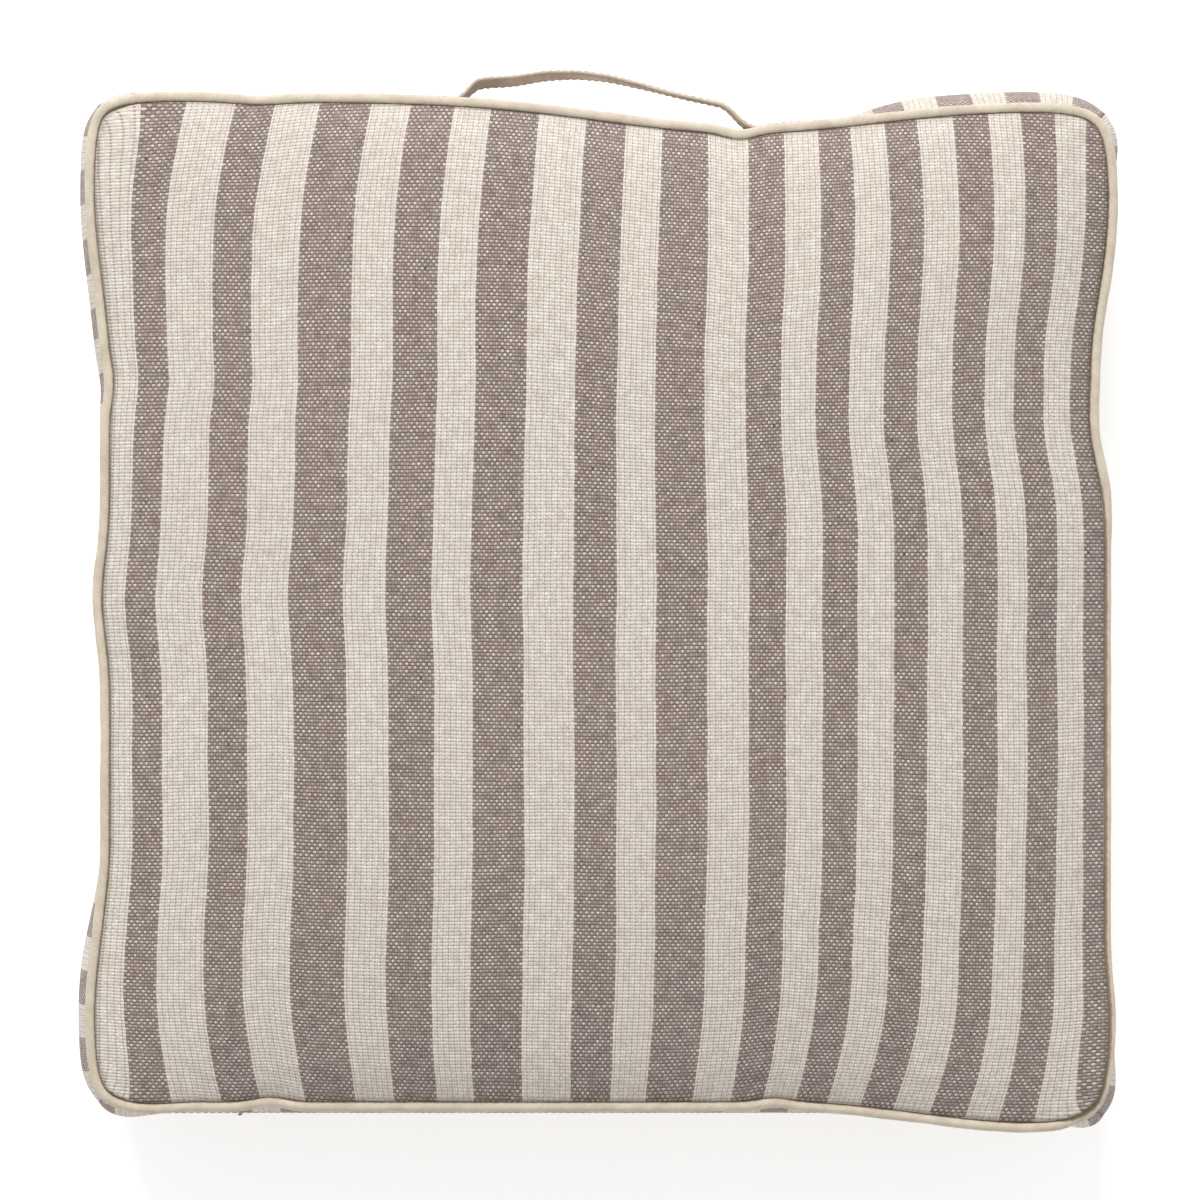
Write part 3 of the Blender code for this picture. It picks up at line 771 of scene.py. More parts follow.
bottom, bottom_cloth = bottom_shape()
cover_bottom = piece("cover_bottom", [net(bottom, bottom_cloth, flip=True)], wide_stripes)
mark_rim(cover_bottom, bottom_cloth)
for made, node in ((cover_top, "top_panel"), (cover_bottom, "bottom_panel")):
    seat(thicken(finer(made), CLOTH), instead_of=[node])
for side in SIDES[1:]:
    shape, flat = side_shapes[side]
    made = mark_rim(piece("cover_" + side, [net(shape, flat[..., :2])], narrow_stripes), flat[..., :2])
    seat(thicken(finer(made), CLOTH), instead_of=["boxing_" + side])

# %% [markdown]
# ## The boxing with the zip
# The zip's side is two strips, each with an edge folded back along the zip. The fold is worked out
# as one profile: down the face, round the fold and back up inside.

# %% Two folded strips
SLIT = 4.9 * MM                   # half the opening that shows the coils
ZIP_END = 176.5 * MM              # x at which the slit starts to close
SLIT_END = 180.5 * MM             # x at which it is shut
STITCHED_END = 214 * MM           # x at which the stitching beside the zip stops
ZIP_STATIONS = 240                # stations along the zip side
STRIP_TALL = 36 * MM              # from the seam down to the fold
FOLD = 0.5 * MM                   # radius of the fold


def zip_side_face(height):
    """Outer face of the zip side: flat where the zip runs, round at the corners."""
    points, out, along = side_line("zip_side", ZIP_STATIONS)
    high, low = upper_seam(*points.T) - EDGE, lower_seam(*points.T) + EDGE
    share = np.clip((height - low) / (high - low), 0, 1)
    flat = (-ZIP_FACE + points[:, 1]) / -out[:, 1]
    corner = np.where(along < 0, CORNER_BULGE["zip_side"][0], CORNER_BULGE["zip_side"][1])
    turn = rise(np.abs(along), 0.86, 0.14, 1.0)
    away = (flat * (1 - turn) + corner * turn) * swell(share)
    away -= corner_tuck(along) * np.minimum(1, 12 * share * (1 - share))
    pucker = np.sin(70 * points[:, 0] + 4 * np.sin(23 * points[:, 0]))
    away += 0.5 * MM * pucker * rise(np.abs(height - MIDDLE), 12 * MM, 20 * MM, 1) * swell(share)
    return points, out, along, away


def zip_strip(sign):
    """Rows from the seam down the face to the slit, round the fold, and 8 mm back inside."""
    points, out, along = side_line("zip_side", ZIP_STATIONS)
    seam_edge = upper_seam(*points.T) - EDGE if sign > 0 else lower_seam(*points.T) + EDGE
    half = np.interp(np.abs(points[:, 0]), [ZIP_END, SLIT_END], [SLIT, 0.12 * MM])
    edge = MIDDLE + sign * half
    rows, lengths = [], []
    for share in np.linspace(0, 1, 13):
        height = seam_edge + (edge + sign * FOLD - seam_edge) * share
        rows.append((height, 0.0))
        lengths.append(share * STRIP_TALL)
    for turn in np.linspace(0.2, 1, 5) * math.pi:
        rows.append((edge + sign * FOLD * (1 - math.sin(turn)), FOLD * (1 - math.cos(turn))))
        lengths.append(STRIP_TALL + FOLD * turn)
    for back in (2, 5, 8):
        rows.append((edge + sign * (FOLD + back * MM), 2 * FOLD))
        lengths.append(STRIP_TALL + 3 * FOLD + back * MM)
    shape = []
    for height, depth in rows:
        away = zip_side_face(height)[-1]
        shape.append(lifted(points + out * (away - depth)[:, None], height))
    along_cloth, down = np.meshgrid(along * CUT, np.array(lengths), indexing="xy")
    return np.array(shape), np.stack([along_cloth + 8 * MM, down * sign], -1)


for name, sign in (("upper", 1), ("lower", -1)):
    shape, cloth = zip_strip(sign)
    made = piece("cover_zip_" + name, [net(shape, cloth, flip=sign > 0)], narrow_stripes)
    mark_rim(made, cloth)
    seat(thicken(made, 0.45 * MM), instead_of=["boxing_zip_" + name])

# %% [markdown]
# ## The piping
# Piping is a strip of plain cotton, cut on the bias and folded round a cord. Its two edges run in
# between the panels as seam allowance. One closed profile is carried round the seam, with the
# small dents and swells that the stitching leaves.

# %% Plain cotton on the bias
BIAS = 0.7071                     # cosine and sine of 45 degrees


def plain_cotton(name, yarn=0.55 * MM, tones=((0.60, 0.505, 0.39), (0.78, 0.69, 0.565)), turned=True,
                 groove=None):
    """A fine plain weave on the fabric map, turned by 45 degrees where it is cut on the bias. The
    groove gives the girth at which the cloth goes under its neighbours, where it lies in shade."""
    cotton = Finish(name, roughness=0.85, Sheen_Weight=0.15, Sheen_Roughness=0.5,
                    Specular_IOR_Level=0.25)
    place = cotton.cloth_place()
    one, two, _ = cotton.parts(place)
    girth = two
    if turned:
        one, two = (one + two) * BIAS, (one - two) * BIAS
    warp, weft = one / yarn, two / yarn
    odd = (warp.floor() + weft.floor()).mod(2.0)
    side, level = warp.mod(1.0) - 0.5, weft.mod(1.0) - 0.5
    over = (1 - (side * 2.0) ** 2.0) * (1 - (level * 1.5) ** 2.0)
    under = (1 - (level * 2.0) ** 2.0) * (1 - (side * 1.5) ** 2.0)
    height = over * odd + under * (1 - odd)
    fuzz = cotton.noise(place, 3000.0, 2.0, 0.6)
    slub = cotton.noise(cotton.vector(warp.floor() * 0.3, two * 160.0), 1.0, 3.0, 0.7)
    tone = (slub * 0.35 + cotton.noise(place, 90.0, 4.0, 0.6) * 0.65).ease(0.3, 0.7)
    colour = cotton.mix(tone, *tones)
    # Painted shade in the low places between the yarns of the weave.
    colour = cotton.mix((1 - height).clamp() * 0.35, colour, tuple(0.45 * t for t in tones[0]))
    if groove:
        notch = cotton.noise(place, 420.0, 2.0) * (1.5 * MM)
        shade = 1 - (girth - notch).ease(-0.3 * MM, 0.8 * MM)
        shade = shade.most((girth + notch).ease(groove - 0.8 * MM, groove + 0.3 * MM))
        colour = cotton.mix(shade * 0.8, colour, (0.22, 0.14, 0.08))
    cotton.set("Base Color", colour)
    cotton.set("Roughness", 0.78 + fuzz * 0.2)
    cotton.bump(height + fuzz * 0.4, 0.12 * MM, 0.7)
    return cotton


OPEN = 0.30                       # half the gap in the piping's arc where its edges run in, radians
ARC_GIRTH = 2 * (math.pi - OPEN) * PIPING
piping_cotton = plain_cotton("piping_cotton", groove=ARC_GIRTH)
print("plain cotton ready")

# %% A profile carried round the seam
STATIONS = 130                    # stations to a side of the piping
PIPING_LENGTH = 1.94              # metres of bias strip, its outer edge once round


def welt_profile():
    """Outer arc, seam allowance, inner arc and back, as (out, up) from the cord's middle."""
    outer = np.linspace(1, -1, 19) * (math.pi - OPEN)
    inner = np.linspace(-1, 1, 11) * (math.pi - 0.12)
    arc = PIPING * np.stack([np.cos(outer), np.sin(outer)], -1)
    bore = 2.0 * MM * np.stack([np.cos(inner), np.sin(inner)], -1)
    flange = np.array([[-9, -0.8], [-9, -0.22]]) * MM
    return np.concatenate([arc, flange, bore, flange[::-1] * [1, -1]])


def roll(points, top):
    """How far the piping is rolled over towards the side, in radians: the full face pushes it
    down along the right of the top."""
    x, y = points.T
    if not top:
        return 0 * x
    return math.radians(62) * rise(x, 0.215, 0.012, 1) * rise(-y, -0.070, 0.045, 1)


def beside_seam(count, height, top):
    """The piping's middle line beside the seam, with its outward and upward directions."""
    points, out = seam(count)
    turn = roll(points, top)
    flat = out * np.cos(turn)[:, None]
    forth = lifted(flat, -np.sin(turn))
    up = lifted(out * np.sin(turn)[:, None], np.cos(turn))
    return lifted(points, height(*points.T)), forth, up


def ring_sweep(profile, count, height, dents, top):
    """A closed profile carried once round the seam. Its arc swells and shrinks by the dents. Only
    the arc is rolled: the seam allowance stays level between the panels."""
    line, forth, up = beside_seam(count, height, top)
    _, level, plumb = beside_seam(count, height, False)
    inside = (profile[:, 0] < -PIPING * 1.2)[:, None, None]
    forth, up = np.where(inside, level[None], forth[None]), np.where(inside, plumb[None], up[None])
    swell_by = np.where(inside, 1.0, dents[None, :, None])
    out_by = (PIPING + profile[:, 0])[:, None, None] * swell_by
    return line[None] + forth * out_by + up * profile[:, 1][:, None, None] * swell_by


def dents_along(count, seed):
    """1 plus a few per cent of swell: a sum of sines of the way round."""
    way = np.linspace(0, 2 * math.pi, 4 * count, endpoint=False)
    waves = (np.sin(37 * way + seed), np.sin(61 * way + 2 * seed), np.sin(113 * way + 3 * seed))
    return 1 + 0.018 * waves[0] + 0.015 * waves[1] + 0.012 * waves[2]


profile = welt_profile()
girth = way_along(profile)
girth = np.append(girth, girth[-1] + 0.5 * MM)
way = np.linspace(0, PIPING_LENGTH, 4 * STATIONS + 1)
cloth = np.stack(np.meshgrid(way, girth, indexing="xy"), -1)
for name, height, seed in (("top", upper_seam, 1.0), ("bottom", lower_seam, 4.0)):
    shape = ring_sweep(profile, STATIONS, height, dents_along(STATIONS, seed), name == "top")
    made = piece("piping_" + name, [net(shape, cloth, True, True)], piping_cotton)
    seat(made, instead_of=["piping_cover_" + name])

# %% [markdown]
# ## The cords in the piping
# Each piping is filled by a cotton cord of three strands. It can't be seen, but the piece is there.

# %% Three-strand cord
def mottled(name, scale, detail, dark, light, relief, **sockets):
    """A finish whose tone wanders between two colours, with a relief of the same pattern. The
    noise is rougher where it has more detail."""
    made = Finish(name, **sockets)
    tone = made.noise(made.object_place(), scale, detail, 0.7 if detail > 2 else 0.5)
    made.set("Base Color", made.mix(tone.ease(0.3, 0.7), dark, light))
    made.bump(tone, relief)
    return made


filler = mottled("cord_cotton", 400.0, 4.0, (0.62, 0.57, 0.47), (0.83, 0.79, 0.70), 0.2 * MM,
                 roughness=0.9)
for name, height in (("top", upper_seam), ("bottom", lower_seam)):
    turn = np.linspace(0, 2 * math.pi, 12, endpoint=False)[:, None]
    way = np.linspace(0, 2 * math.pi, 4 * STATIONS, endpoint=False)[None]
    radius = 1.35 * MM * (1 + 0.22 * np.cos(3 * turn - 150 * way))
    line, forth, up = beside_seam(STATIONS, height, name == "top")
    shape = (line + forth * PIPING)[None] + forth[None] * (radius * np.cos(turn))[..., None]
    shape = shape + up[None] * (radius * np.sin(turn))[..., None]
    made = piece("piping_cord_in_" + name, [net(shape, None, True, True, flip=True)], filler)
    seat(made, instead_of=["piping_cord_" + name])

# %% [markdown]
# ## The strap handle
# The handle is one flat strap of the plain cotton. Its ends are sewn to the boxing, and between
# them it stands off in a bow and leans out a little at its left half. It's one surface: a flat
# oval section carried along the strap.

# %% Where the strap runs
STRAP_WIDE, STRAP_THICK = 22 * MM, 2.2 * MM
SEWN = {"left": (-96 * MM, -74 * MM), "right": (76 * MM, 98 * MM)}   # x of the sewn ends
handle_shape = side_shapes["handle_side"][0][:, ::-1]


def boxing_face(x, z):
    """y of the handle side's outer face at x and z, read from the settled boxing row by row."""
    flat_x, flat_z = np.broadcast_arrays(x, z)
    rows = np.array([np.interp(flat_x, row[:, 0], row[:, 1]) for row in handle_shape])
    heights = np.array([np.interp(flat_x, row[:, 0], row[:, 2]) for row in handle_shape])
    upper = np.clip((heights < flat_z).sum(0), 1, len(rows) - 1)
    pick = tuple(np.indices(flat_x.shape))
    low_z, high_z = heights[(upper - 1, *pick)], heights[(upper, *pick)]
    share = np.clip((flat_z - low_z) / (high_z - low_z), 0, 1)
    return rows[(upper - 1, *pick)] * (1 - share) + rows[(upper, *pick)] * share


def strap_course(x):
    """y of the strap's middle over the gap: a smooth line through where it bows out."""
    knots = [(-74, 252.6), (-66, 256.0), (-58, 257.4), (-45, 257.8), (-30, 260.6), (-14, 261.2),
             (2, 259.4), (20, 255.0), (36, 250.8), (52, 247.4), (64, 244.6), (76, 240.6)]
    straight = np.interp(x, *(np.array(knots) * MM).T)
    for _ in range(3):
        straight = np.convolve(np.pad(straight, 3, "edge"), np.ones(7) / 7, "valid")
    return straight


print("boxing under the strap at", (boxing_face(np.zeros(1), MIDDLE) / MM).round(1), "mm")


# %% The strap
STRAP_ROWS = 24                   # rows of points round its section
STRAP_TURN = np.linspace(0, 2 * math.pi, STRAP_ROWS, endpoint=False)
STRAP_ACROSS = STRAP_WIDE / 2 * squarer(np.cos(STRAP_TURN), 0.45)


def strap_surface(count=180):
    """Rows round the section, columns along x."""
    x = np.linspace(SEWN["left"][0], SEWN["right"][1], count)
    across = STRAP_ACROSS[:, None]
    thick = STRAP_THICK / 2 * squarer(np.sin(STRAP_TURN), 0.6)[:, None]
    free = rise(x, SEWN["left"][1], 13 * MM, 1) * rise(-x, -SEWN["right"][0], 20 * MM, 1)
    lean = math.radians(5) * rise(-x, -10 * MM, 60 * MM, 1) * free
    lean = lean - math.radians(4) * rise(x, -5 * MM, 40 * MM, 1) * free
    height = MIDDLE + across * np.cos(lean)
    lying = boxing_face(x[None] + 0 * across, height) + STRAP_THICK / 2 + 0.15 * MM
    course = strap_course(x)[None] + across * np.sin(lean)
    y = lying * (1 - free) + course * free
    ahead = np.gradient(y.mean(0), x)
    length = np.hypot(1, ahead)
    spot = np.stack([x - thick * ahead / length, y + thick / length, height + 0 * x], -1)
    way = way_along(np.stack([x, y.mean(0)], -1))
    girth = np.linspace(0, 2 * (STRAP_WIDE + STRAP_THICK), STRAP_ROWS + 1)
    cloth = np.stack(np.meshgrid(way, girth, indexing="xy"), -1)
    return spot, cloth, x


strap_cotton = plain_cotton("strap_cotton", 0.6 * MM, ((0.54, 0.45, 0.34), (0.76, 0.675, 0.545)),
                            turned=False)


def closed_tube(points, cloth, flip=False):
    """A tube whose rows run round it, with a fan at each end."""
    spots, faces, marks = net(points, cloth, round_rows=True, flip=flip)
    count, columns = points.shape[:2]
    for end, turned in ((0, not flip), (columns - 1, flip)):
        ring = np.arange(count) * columns + end
        middle = len(spots)
        spots = np.concatenate([spots, points[:, end].mean(0)[None]])
        fan = np.stack([ring, np.roll(ring, -1), np.full(count, middle)], -1)
        fan = fan[:, ::-1] if turned else fan
        fan = np.concatenate([fan, fan[:, 2:]], -1)
        faces = np.concatenate([faces, fan])
        marks = np.concatenate([marks, np.zeros((count, 4, 2)) + cloth[0, end]])
    return spots, faces, marks


strap_points, strap_cloth, strap_x = strap_surface()
tube = closed_tube(strap_points, strap_cloth)
strap = seat(piece("strap", [tube], strap_cotton), body=None,
             instead_of=["handle_strap", "handle_end_left", "handle_end_right"])
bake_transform(strap)

# %% [markdown]
# ## Stitches
# A row of stitches is one short, round-ended thread repeated along a line. All of a row is worked
# out at once: one small form times the number of stitches, each turned to its line.

# %% One row of stitches
THREAD = 0.28 * MM                # radius of the thread
STITCH, SPACE = 2.6 * MM, 0.9 * MM


def stitch_row(path, normal, sink=0.35):
    """Stitches along a path of points. Each is a spindle of 5 sections with 6 sides, whose ends dip
    under the cloth. normal points away from the cloth, one for each point or one for all."""
    path = np.asarray(path, float)
    normal = np.broadcast_to(np.asarray(normal, float), path.shape)
    way = way_along(path)
    count = max(1, int(way[-1] / (STITCH + SPACE)))
    step = way[-1] / count
    centre = (np.arange(count) + 0.5) * step
    t = np.array([-1, -0.8, 0, 0.8, 1.0])
    at = centre[:, None] + t[None] * (step - SPACE) / 2
    spot = np.stack([np.interp(at, way, path[:, i]) for i in range(3)], -1)
    lift = np.stack([np.interp(at, way, normal[:, i]) for i in range(3)], -1)
    ahead = unit(spot[:, -1:] - spot[:, :1])
    across = unit(np.cross(np.broadcast_to(ahead, lift.shape), lift))
    girth = THREAD * np.array([0.05, 0.75, 1.0, 0.75, 0.05])[None, :, None, None]
    turn = np.linspace(0, 2 * math.pi, 6, endpoint=False)[None, None, :, None]
    dipped = THREAD * (np.sqrt(np.maximum(1 - t * t, 0)) - sink)[None, :, None, None]
    ring = across[:, :, None] * np.cos(turn) + lift[:, :, None] * np.sin(turn)
    points = spot[:, :, None] + lift[:, :, None] * dipped + ring * girth
    faces, _ = net_faces(5, 6, round_columns=True)
    ends = np.array([[0, 5, 4, 1], [1, 4, 3, 2], [24, 25, 28, 29], [25, 26, 27, 28]])
    faces = np.concatenate([faces[:, ::-1], ends])
    all_faces = (faces[None] + 30 * np.arange(count)[:, None, None]).reshape(-1, 4)
    place = np.zeros((len(all_faces), 4, 2))
    place[..., 0] = np.repeat(centre, len(faces))[:, None]
    return points.reshape(-1, 3), all_faces, place


thread = mottled("sewing_thread", 1500.0, 2.0, (0.48, 0.40, 0.30), (0.68, 0.59, 0.46), 0.08 * MM,
                 roughness=0.7, Sheen_Weight=0.2)
print("stitches of", round(STITCH / MM, 1), "mm with", round(SPACE / MM, 1), "mm between them")


# %% Stitches on the strap
def strap_line(across, start, end, outside=True, count=60):
    """Points on the strap's face from start to end along x, at a share of the half width."""
    facing = np.sin(STRAP_TURN) * (1 if outside else -1)
    rows = np.flatnonzero(facing > 0.2)
    rows = rows[np.argsort(STRAP_ACROSS[rows])]
    x = np.linspace(start, end, count)
    line = []
    for column in (0, 1, 2):
        by_row = np.array([np.interp(x, strap_x, strap_points[row, :, column]) for row in rows])
        line.append([np.interp(across * STRAP_WIDE / 2, STRAP_ACROSS[rows], by_row[:, k])
                     for k in range(count)])
    return np.array(line).T


def box_stitch(ends, count=60):
    """A rectangle with a cross in it, sewn through strap and boxing."""
    start, end = min(ends) + 2.2 * MM, max(ends) - 2.2 * MM
    sides = [strap_line(across, start, end) for across in (-0.76, 0.76)]
    for end_point in (0, -1):
        levels = np.linspace(-0.7, 0.7, 9)
        sides.append(np.array([strap_line(a, start, end)[end_point] for a in levels]))
    whole = np.array([strap_line(a, start, end) for a in np.linspace(-0.66, 0.66, count)])
    step = np.arange(count)
    sides += [whole[step, step], whole[step, step[::-1]]]
    return [stitch_row(side, (0, 1, 0)) for side in sides]


for name, ends in SEWN.items():
    made = piece("strap_box_stitch_" + name, box_stitch(ends), thread)
    seat(made, instead_of=["handle_stitch_" + name])
edge_rows = []
for outside, facing in ((True, (0, 1, 0)), (False, (0, -1, 0))):
    for across in (-0.8, 0.8):
        line = strap_line(across, SEWN["left"][1] + 3 * MM, SEWN["right"][0] - 3 * MM, outside, 160)
        edge_rows.append(stitch_row(line, facing))
edging = piece("strap_edge_stitching", edge_rows, thread)
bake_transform(edging)

# %% [markdown]
# ## The zip
# A coil zip is two nylon spirals sewn to two woven tapes. Each spiral is one wire carried along a
# flattened helix, and the two are half a turn apart where they meet. The slider is a metal
# body with two plates, a post and an arch, and the puller swings on the arch.

# %% Zip finishes
def coil_nylon():
    """Smooth dyed nylon, a little cloudy."""
    coil = Finish("coil_nylon", roughness=0.38)
    place = coil.object_place()
    tone = coil.noise(place, 300.0, 2.0)
    coil.set("Base Color", coil.mix(tone, (0.56, 0.50, 0.40), (0.70, 0.64, 0.54)))
    coil.set("Roughness", 0.3 + tone * 0.2)
    return coil


def zip_metal():
    """Plated zinc: near mirror on the flats, with fine rubbing marks and duller hollows."""
    metal = Finish("zip_zinc", roughness=0.3, metallic=1.0)
    place = metal.object_place()
    rubbed = metal.noise(place, 900.0, 4.0, 0.7)
    cloudy = metal.noise(place, 160.0, 2.0)
    metal.set("Base Color", metal.mix(cloudy, (0.50, 0.48, 0.45), (0.66, 0.64, 0.60)))
    metal.set("Roughness", 0.22 + rubbed * 0.25)
    metal.bump(rubbed, 0.02 * MM)
    return metal


def tape_weave():
    """A fine herringbone on the tape: slanting ribs that turn at every third millimetre."""
    tape = Finish("zip_tape_weave", roughness=0.85)
    x, _, z = tape.parts(tape.object_place())
    turned = ((z / (3 * MM)).floor()).mod(2.0) * 2.0 - 1.0
    ribs = ((x + z * turned) * (2 * math.pi / (0.7 * MM))).sin() * 0.5 + 0.5
    tone = tape.noise(tape.object_place(), 700.0, 3.0)
    colour = tape.mix((ribs * 0.6 + tone * 0.4), (0.50, 0.43, 0.33), (0.68, 0.61, 0.50))
    tape.set("Base Color", colour)
    tape.bump(ribs, 0.1 * MM)
    return tape


nylon, zinc, tape = coil_nylon(), zip_metal(), tape_weave()
for node in ("zip_tape_upper", "zip_tape_lower"):
    frame["nodes"][node].data.materials[0] = tape.material
print("zip finishes ready")

# %% The coils
COIL_MIDDLE = (COIL_LOW + COIL_HIGH) / 2
PITCH = 1.3 * MM
WIRE = 0.33 * MM


def coil(sign):
    """Wire round a flattened helix: x runs on with the turn, y and z go round an oval."""
    steps = 10
    turns = int((COIL_HIGH[0] - COIL_LOW[0] - 1.2 * MM) / PITCH)
    angle = np.linspace(0, 2 * math.pi * turns, steps * turns + 1) + (sign < 0) * math.pi
    x = COIL_LOW[0] + 0.6 * MM + PITCH * (angle - angle[0]) / (2 * math.pi)
    deep, tall = 1.0 * MM - WIRE, 1.55 * MM - WIRE
    z = MIDDLE + sign * (1.35 * MM + tall * np.cos(angle))
    y = COIL_MIDDLE[1] + deep * np.sin(angle)
    spine = np.stack([x, y, z], -1)
    ahead = unit(np.gradient(spine, axis=0))
    inward = np.stack([0 * x, COIL_MIDDLE[1] - y, MIDDLE + sign * 1.35 * MM - z], -1)
    inward = unit(inward - ahead * (ahead * inward).sum(1)[:, None])
    beside = np.cross(ahead, inward)
    turn = np.linspace(0, 2 * math.pi, 5, endpoint=False)[:, None, None]
    ring = inward[None] * np.cos(turn) + beside[None] * np.sin(turn)
    return spine[None] + WIRE * ring


for name, sign in (("upper", 1), ("lower", -1)):
    points = coil(sign)
    cloth = np.zeros((points.shape[0] + 1, points.shape[1], 2))
    made = piece("zip_spiral_" + name, [closed_tube(points, cloth)], nylon)
    seat(made, instead_of=["zip_coil_" + name])

# %% Soft-edged metal forms
def pebble(low, high, square=0.35, rings=12, around=20):
    """A block with soft edges: an ellipsoid whose sines and cosines are raised to a small power."""
    low, high = np.array(low), np.array(high)
    v = np.linspace(0, math.pi, rings + 1)[:, None]
    u = np.linspace(0, 2 * math.pi, around, endpoint=False)[None]
    around_x = squarer(np.sin(v), square)
    form = np.stack([squarer(np.cos(v), square) + 0 * u, around_x * squarer(np.cos(u), square),
                     around_x * squarer(np.sin(u), square)], -1)
    points = (low + high) / 2 + (high - low) / 2 * form
    spots, faces, _ = net(points[1:-1], None, round_columns=True)
    count = len(spots)
    spots = np.concatenate([spots, points[:1, 0], points[-1:, 0]])
    k = np.arange(around)
    first = np.stack([(k + 1) % around, k, np.full(around, count), np.full(around, count)], -1)
    base = (rings - 2) * around
    last = np.stack([base + k, base + (k + 1) % around, np.full(around, count + 1),
                     np.full(around, count + 1)], -1)
    faces = np.concatenate([faces, first, last])
    return spots, faces, np.zeros((len(faces), 4, 2))


def arch(middle, wide, high, wire, count=24):
    """A wire that stands up, crosses over and comes down again: half an oval along x."""
    angle = np.linspace(0, math.pi, count)
    x = middle[0] + wide * squarer(np.cos(angle), 0.6)
    y = middle[1] - high * np.sin(angle) ** 0.6
    spine = np.stack([x, y, middle[2] + 0 * x], -1)
    ahead = unit(np.gradient(spine, axis=0))
    side = np.array([0, 0, 1.0])
    up = np.cross(ahead, side)
    turn = np.linspace(0, 2 * math.pi, 10, endpoint=False)[:, None, None]
    ring = up[None] * 0.55 * np.cos(turn) + side * np.sin(turn)
    return closed_tube(spine[None] + wire * ring, np.zeros((11, count, 2)))


print("a pebble has", len(pebble((0, 0, 0), (1, 1, 1))[0]), "points")

# %% The slider
slider_high = np.array(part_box("zip_slider")[1])
plate = ZIP_FACE - 1.3 * MM
bar = pivot_of("puller_swing")


def block(x, y, z, square):
    """A pebble whose x and z run in mm from the puller's bar and the zip's line."""
    low, high = zip((bar[0] + x[0] * MM, bar[0] + x[1] * MM), y,
                    (MIDDLE + z[0] * MM, MIDDLE + z[1] * MM))
    return pebble(low, high, square)


slider_parts = [
    block((-6, 6), (plate - 1.15 * MM, plate), (-4.2, 4.2), 0.45),
    block((-5, 5.5), (slider_high[1] - 1.0 * MM, slider_high[1]), (-3.2, 3.2), 0.5),
    block((1, 5), (plate - 0.4 * MM, slider_high[1] - 0.2 * MM), (-0.4, 0.4), 0.5),
    block((-6, 6), (plate - 0.6 * MM, plate + 0.9 * MM), (3.3, 4.2), 0.4),
    block((-6, 6), (plate - 0.6 * MM, plate + 0.9 * MM), (-4.2, -3.3), 0.4),
    arch((bar[0] - 0.3 * MM, plate - 0.6 * MM, MIDDLE), 2.6 * MM, 1.9 * MM, 0.62 * MM),
]
slider = piece("zip_slider_body", slider_parts, zinc)
seat(slider, body="slider", instead_of=["zip_slider"])


# %% The puller and the stops
def puller_form():
    """A flat tab with a slot at its pivot: a ring whose section is a thin oval. Its outer line
    swells towards the grip, and its inner line is the slot."""
    angle = np.linspace(0, 2 * math.pi, 64, endpoint=False)
    near, far = bar[0] + 0.9 * MM, bar[0] - 25 * MM
    centre = (near + far) / 2
    outer_x = centre + (near - far) / 2 * squarer(np.cos(angle), 0.35)
    wide = 1.9 * MM + rise(-(outer_x - bar[0]), 6 * MM, 12 * MM, 0.9 * MM)
    outer_z = wide * squarer(np.sin(angle), 0.5)
    inner_x = bar[0] - 2.2 * MM + 2.3 * MM * squarer(np.cos(angle), 0.5)
    inner_z = 0.95 * MM * squarer(np.sin(angle), 0.6)
    section = np.linspace(0, 2 * math.pi, 12, endpoint=False)[:, None]
    share = 0.5 + 0.5 * squarer(np.cos(section), 0.35)
    y = bar[1] + 0.5 * MM * squarer(np.sin(section), 0.5)
    x = inner_x + (outer_x - inner_x) * share
    z = inner_z + (outer_z - inner_z) * share
    past_bar = x - bar[0]
    dish = 0.18 * MM * rise(-past_bar, 9 * MM, 3 * MM, 1) * rise(past_bar, -23 * MM, 3 * MM, 1)
    y = y - np.sign(y - bar[1]) * dish * (share > 0.02) * (share < 0.9)
    return net(np.stack([x, y, MIDDLE + z], -1), None, True, True, flip=True)


puller = piece("zip_puller_tab", [puller_form()], zinc)
seat(puller, body="puller", instead_of=["zip_puller"])
for node in ("zip_closed_stop", "zip_open_stop"):
    low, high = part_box(node)
    made = piece(node + "_clamp", [pebble(low, high, 0.45)], zinc)
    seat(made, instead_of=[node])

# %% Rows of stitches beside the zip
zip_rows = []
points, out, along, _ = zip_side_face(np.full(ZIP_STATIONS + 1, MIDDLE))
inside = np.abs(points[:, 0]) < STITCHED_END
for sign in (-1, 1):
    for off in (8.0, 11.5):
        level = MIDDLE + sign * off * MM
        away = zip_side_face(level + 0 * along)[-1]
        path = lifted(points + out * (away + 0.02 * MM)[:, None], level)
        zip_rows.append(stitch_row(path[inside], lifted(out, 0.0)[inside]))
seat(piece("zip_stitching", zip_rows, thread))

# %% [markdown]
# ## The pad
# Inside is a pad: polyester fibre in a plain calico case. It can't be seen with the zip closed, but
# it's what holds the cover out. Its form is a crowned closed net inside the cover.

# %% Calico and fibre
def hidden_cloth(name, dark, light, scale):
    """A weave of sines in x, y and z, whose tone wanders between two colours."""
    made = Finish(name, roughness=0.95)
    place = made.object_place()
    x, y, z = made.parts(place)
    weave = (x * scale).sin() * (y * scale).sin() * 0.5 + (z * scale).sin() * 0.25 + 0.5
    tone = made.noise(place, 90.0, 4.0)
    made.set("Base Color", made.mix((weave * 0.4 + tone * 0.6).clamp(), dark, light))
    made.bump(weave + tone, 0.2 * MM)
    return made


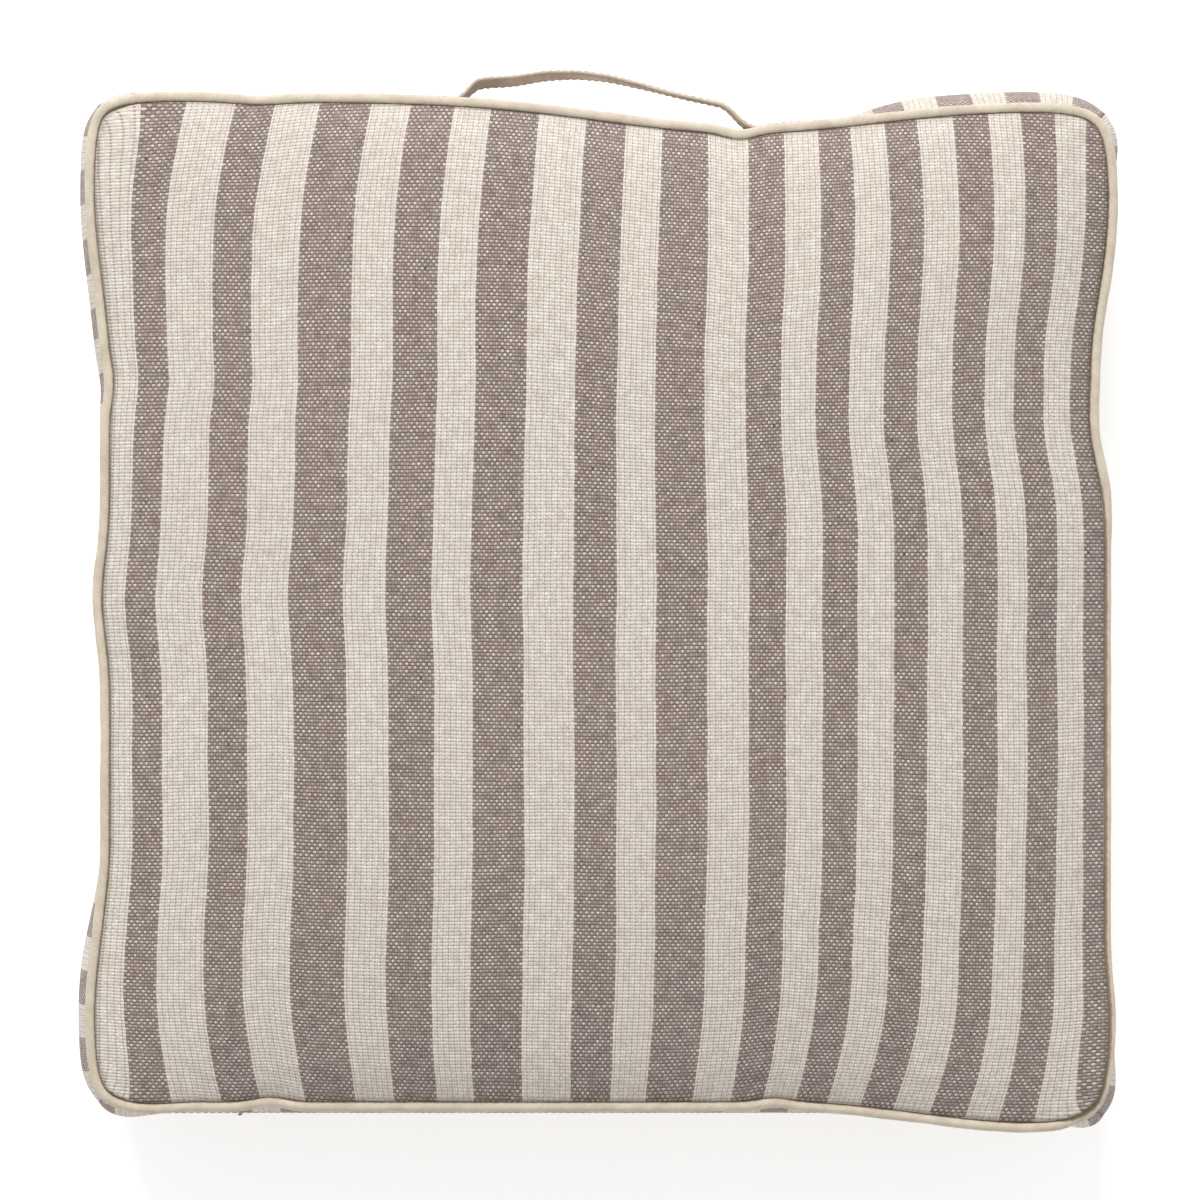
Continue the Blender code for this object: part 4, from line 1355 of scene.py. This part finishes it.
def pad_net(depth, count=40):
    """Rows from the middle of the underside, over the side, to the middle of the top. The top
    rises as (1 - r^3)^0.75 and the side swells by 7 mm."""
    a, b = round_the_edge(count)
    points, out = seam(count)
    rows = []
    low, high = LOWER + 2 * MM, UPPER - 3 * MM
    for r in np.linspace(0.06, 0.93, 12):
        rows.append((r, 0, 2 * MM + depth + 9 * MM * rise(r, 0.86, 0.14, 1.0)))
    for share in np.linspace(0, 1, 11):
        out_by = PIPING - 13 * MM + 7 * MM * (1 - abs(2 * share - 1) ** 2.5) - depth
        rows.append((None, out_by, low + share * (high - low)))
    for r in np.linspace(0.93, 0.06, 12):
        rows.append((r, 0, UPPER - 1.5 * MM - depth + 18 * MM * (1 - r**3) ** 0.75))
    shape = []
    for r, out_by, height in rows:
        if r is None:
            spot = points + out * out_by
        else:
            soft = 1 - r**1.6
            length = np.hypot(a, b)
            keep = 1 - soft + soft / length
            x, y = plan(r * keep * a, r * keep * b)
            spot = np.stack([x, y], -1) - out * depth * r
        shape.append(lifted(spot, height))
    shape = np.array(shape).transpose(1, 0, 2)
    return closed_tube(shape, np.zeros((4 * count + 1, shape.shape[1], 2)))


calico = hidden_cloth("calico_weave", (0.66, 0.60, 0.48), (0.80, 0.74, 0.62), 6000.0)
fibre = hidden_cloth("polyester_fibre", (0.80, 0.80, 0.78), (0.92, 0.92, 0.90), 900.0)
case = thicken(piece("pad_calico_case", [pad_net(0.0)], calico), 0.6 * MM)
seat(case, instead_of=["pad_case_upper", "pad_case_lower"])
filling = seat(piece("pad_fibre_filling", [pad_net(1.2 * MM)], fibre),
               instead_of=["pad_filling"])

# %% [markdown]
# ## Floor, sky and the end
# The floor is plain and pale.

# %% Floor and sky
floor_points = np.array([[(-6, -6, 0), (6, -6, 0)], [(-6, 6, 0), (6, 6, 0)]], float)
pale = Finish("pale_floor", (0.90, 0.90, 0.895), 0.9, Emission_Color=(1.0, 1.0, 1.0, 1.0),
              Emission_Strength=0.42)
floor = piece("floor", [net(floor_points)], pale)
world = bpy.data.worlds.new("sky")
world.use_nodes = True
world.node_tree.nodes["Background"].inputs["Color"].default_value = (1.0, 1.0, 1.0, 1.0)
world.node_tree.nodes["Background"].inputs["Strength"].default_value = 0.60
scene.world = world
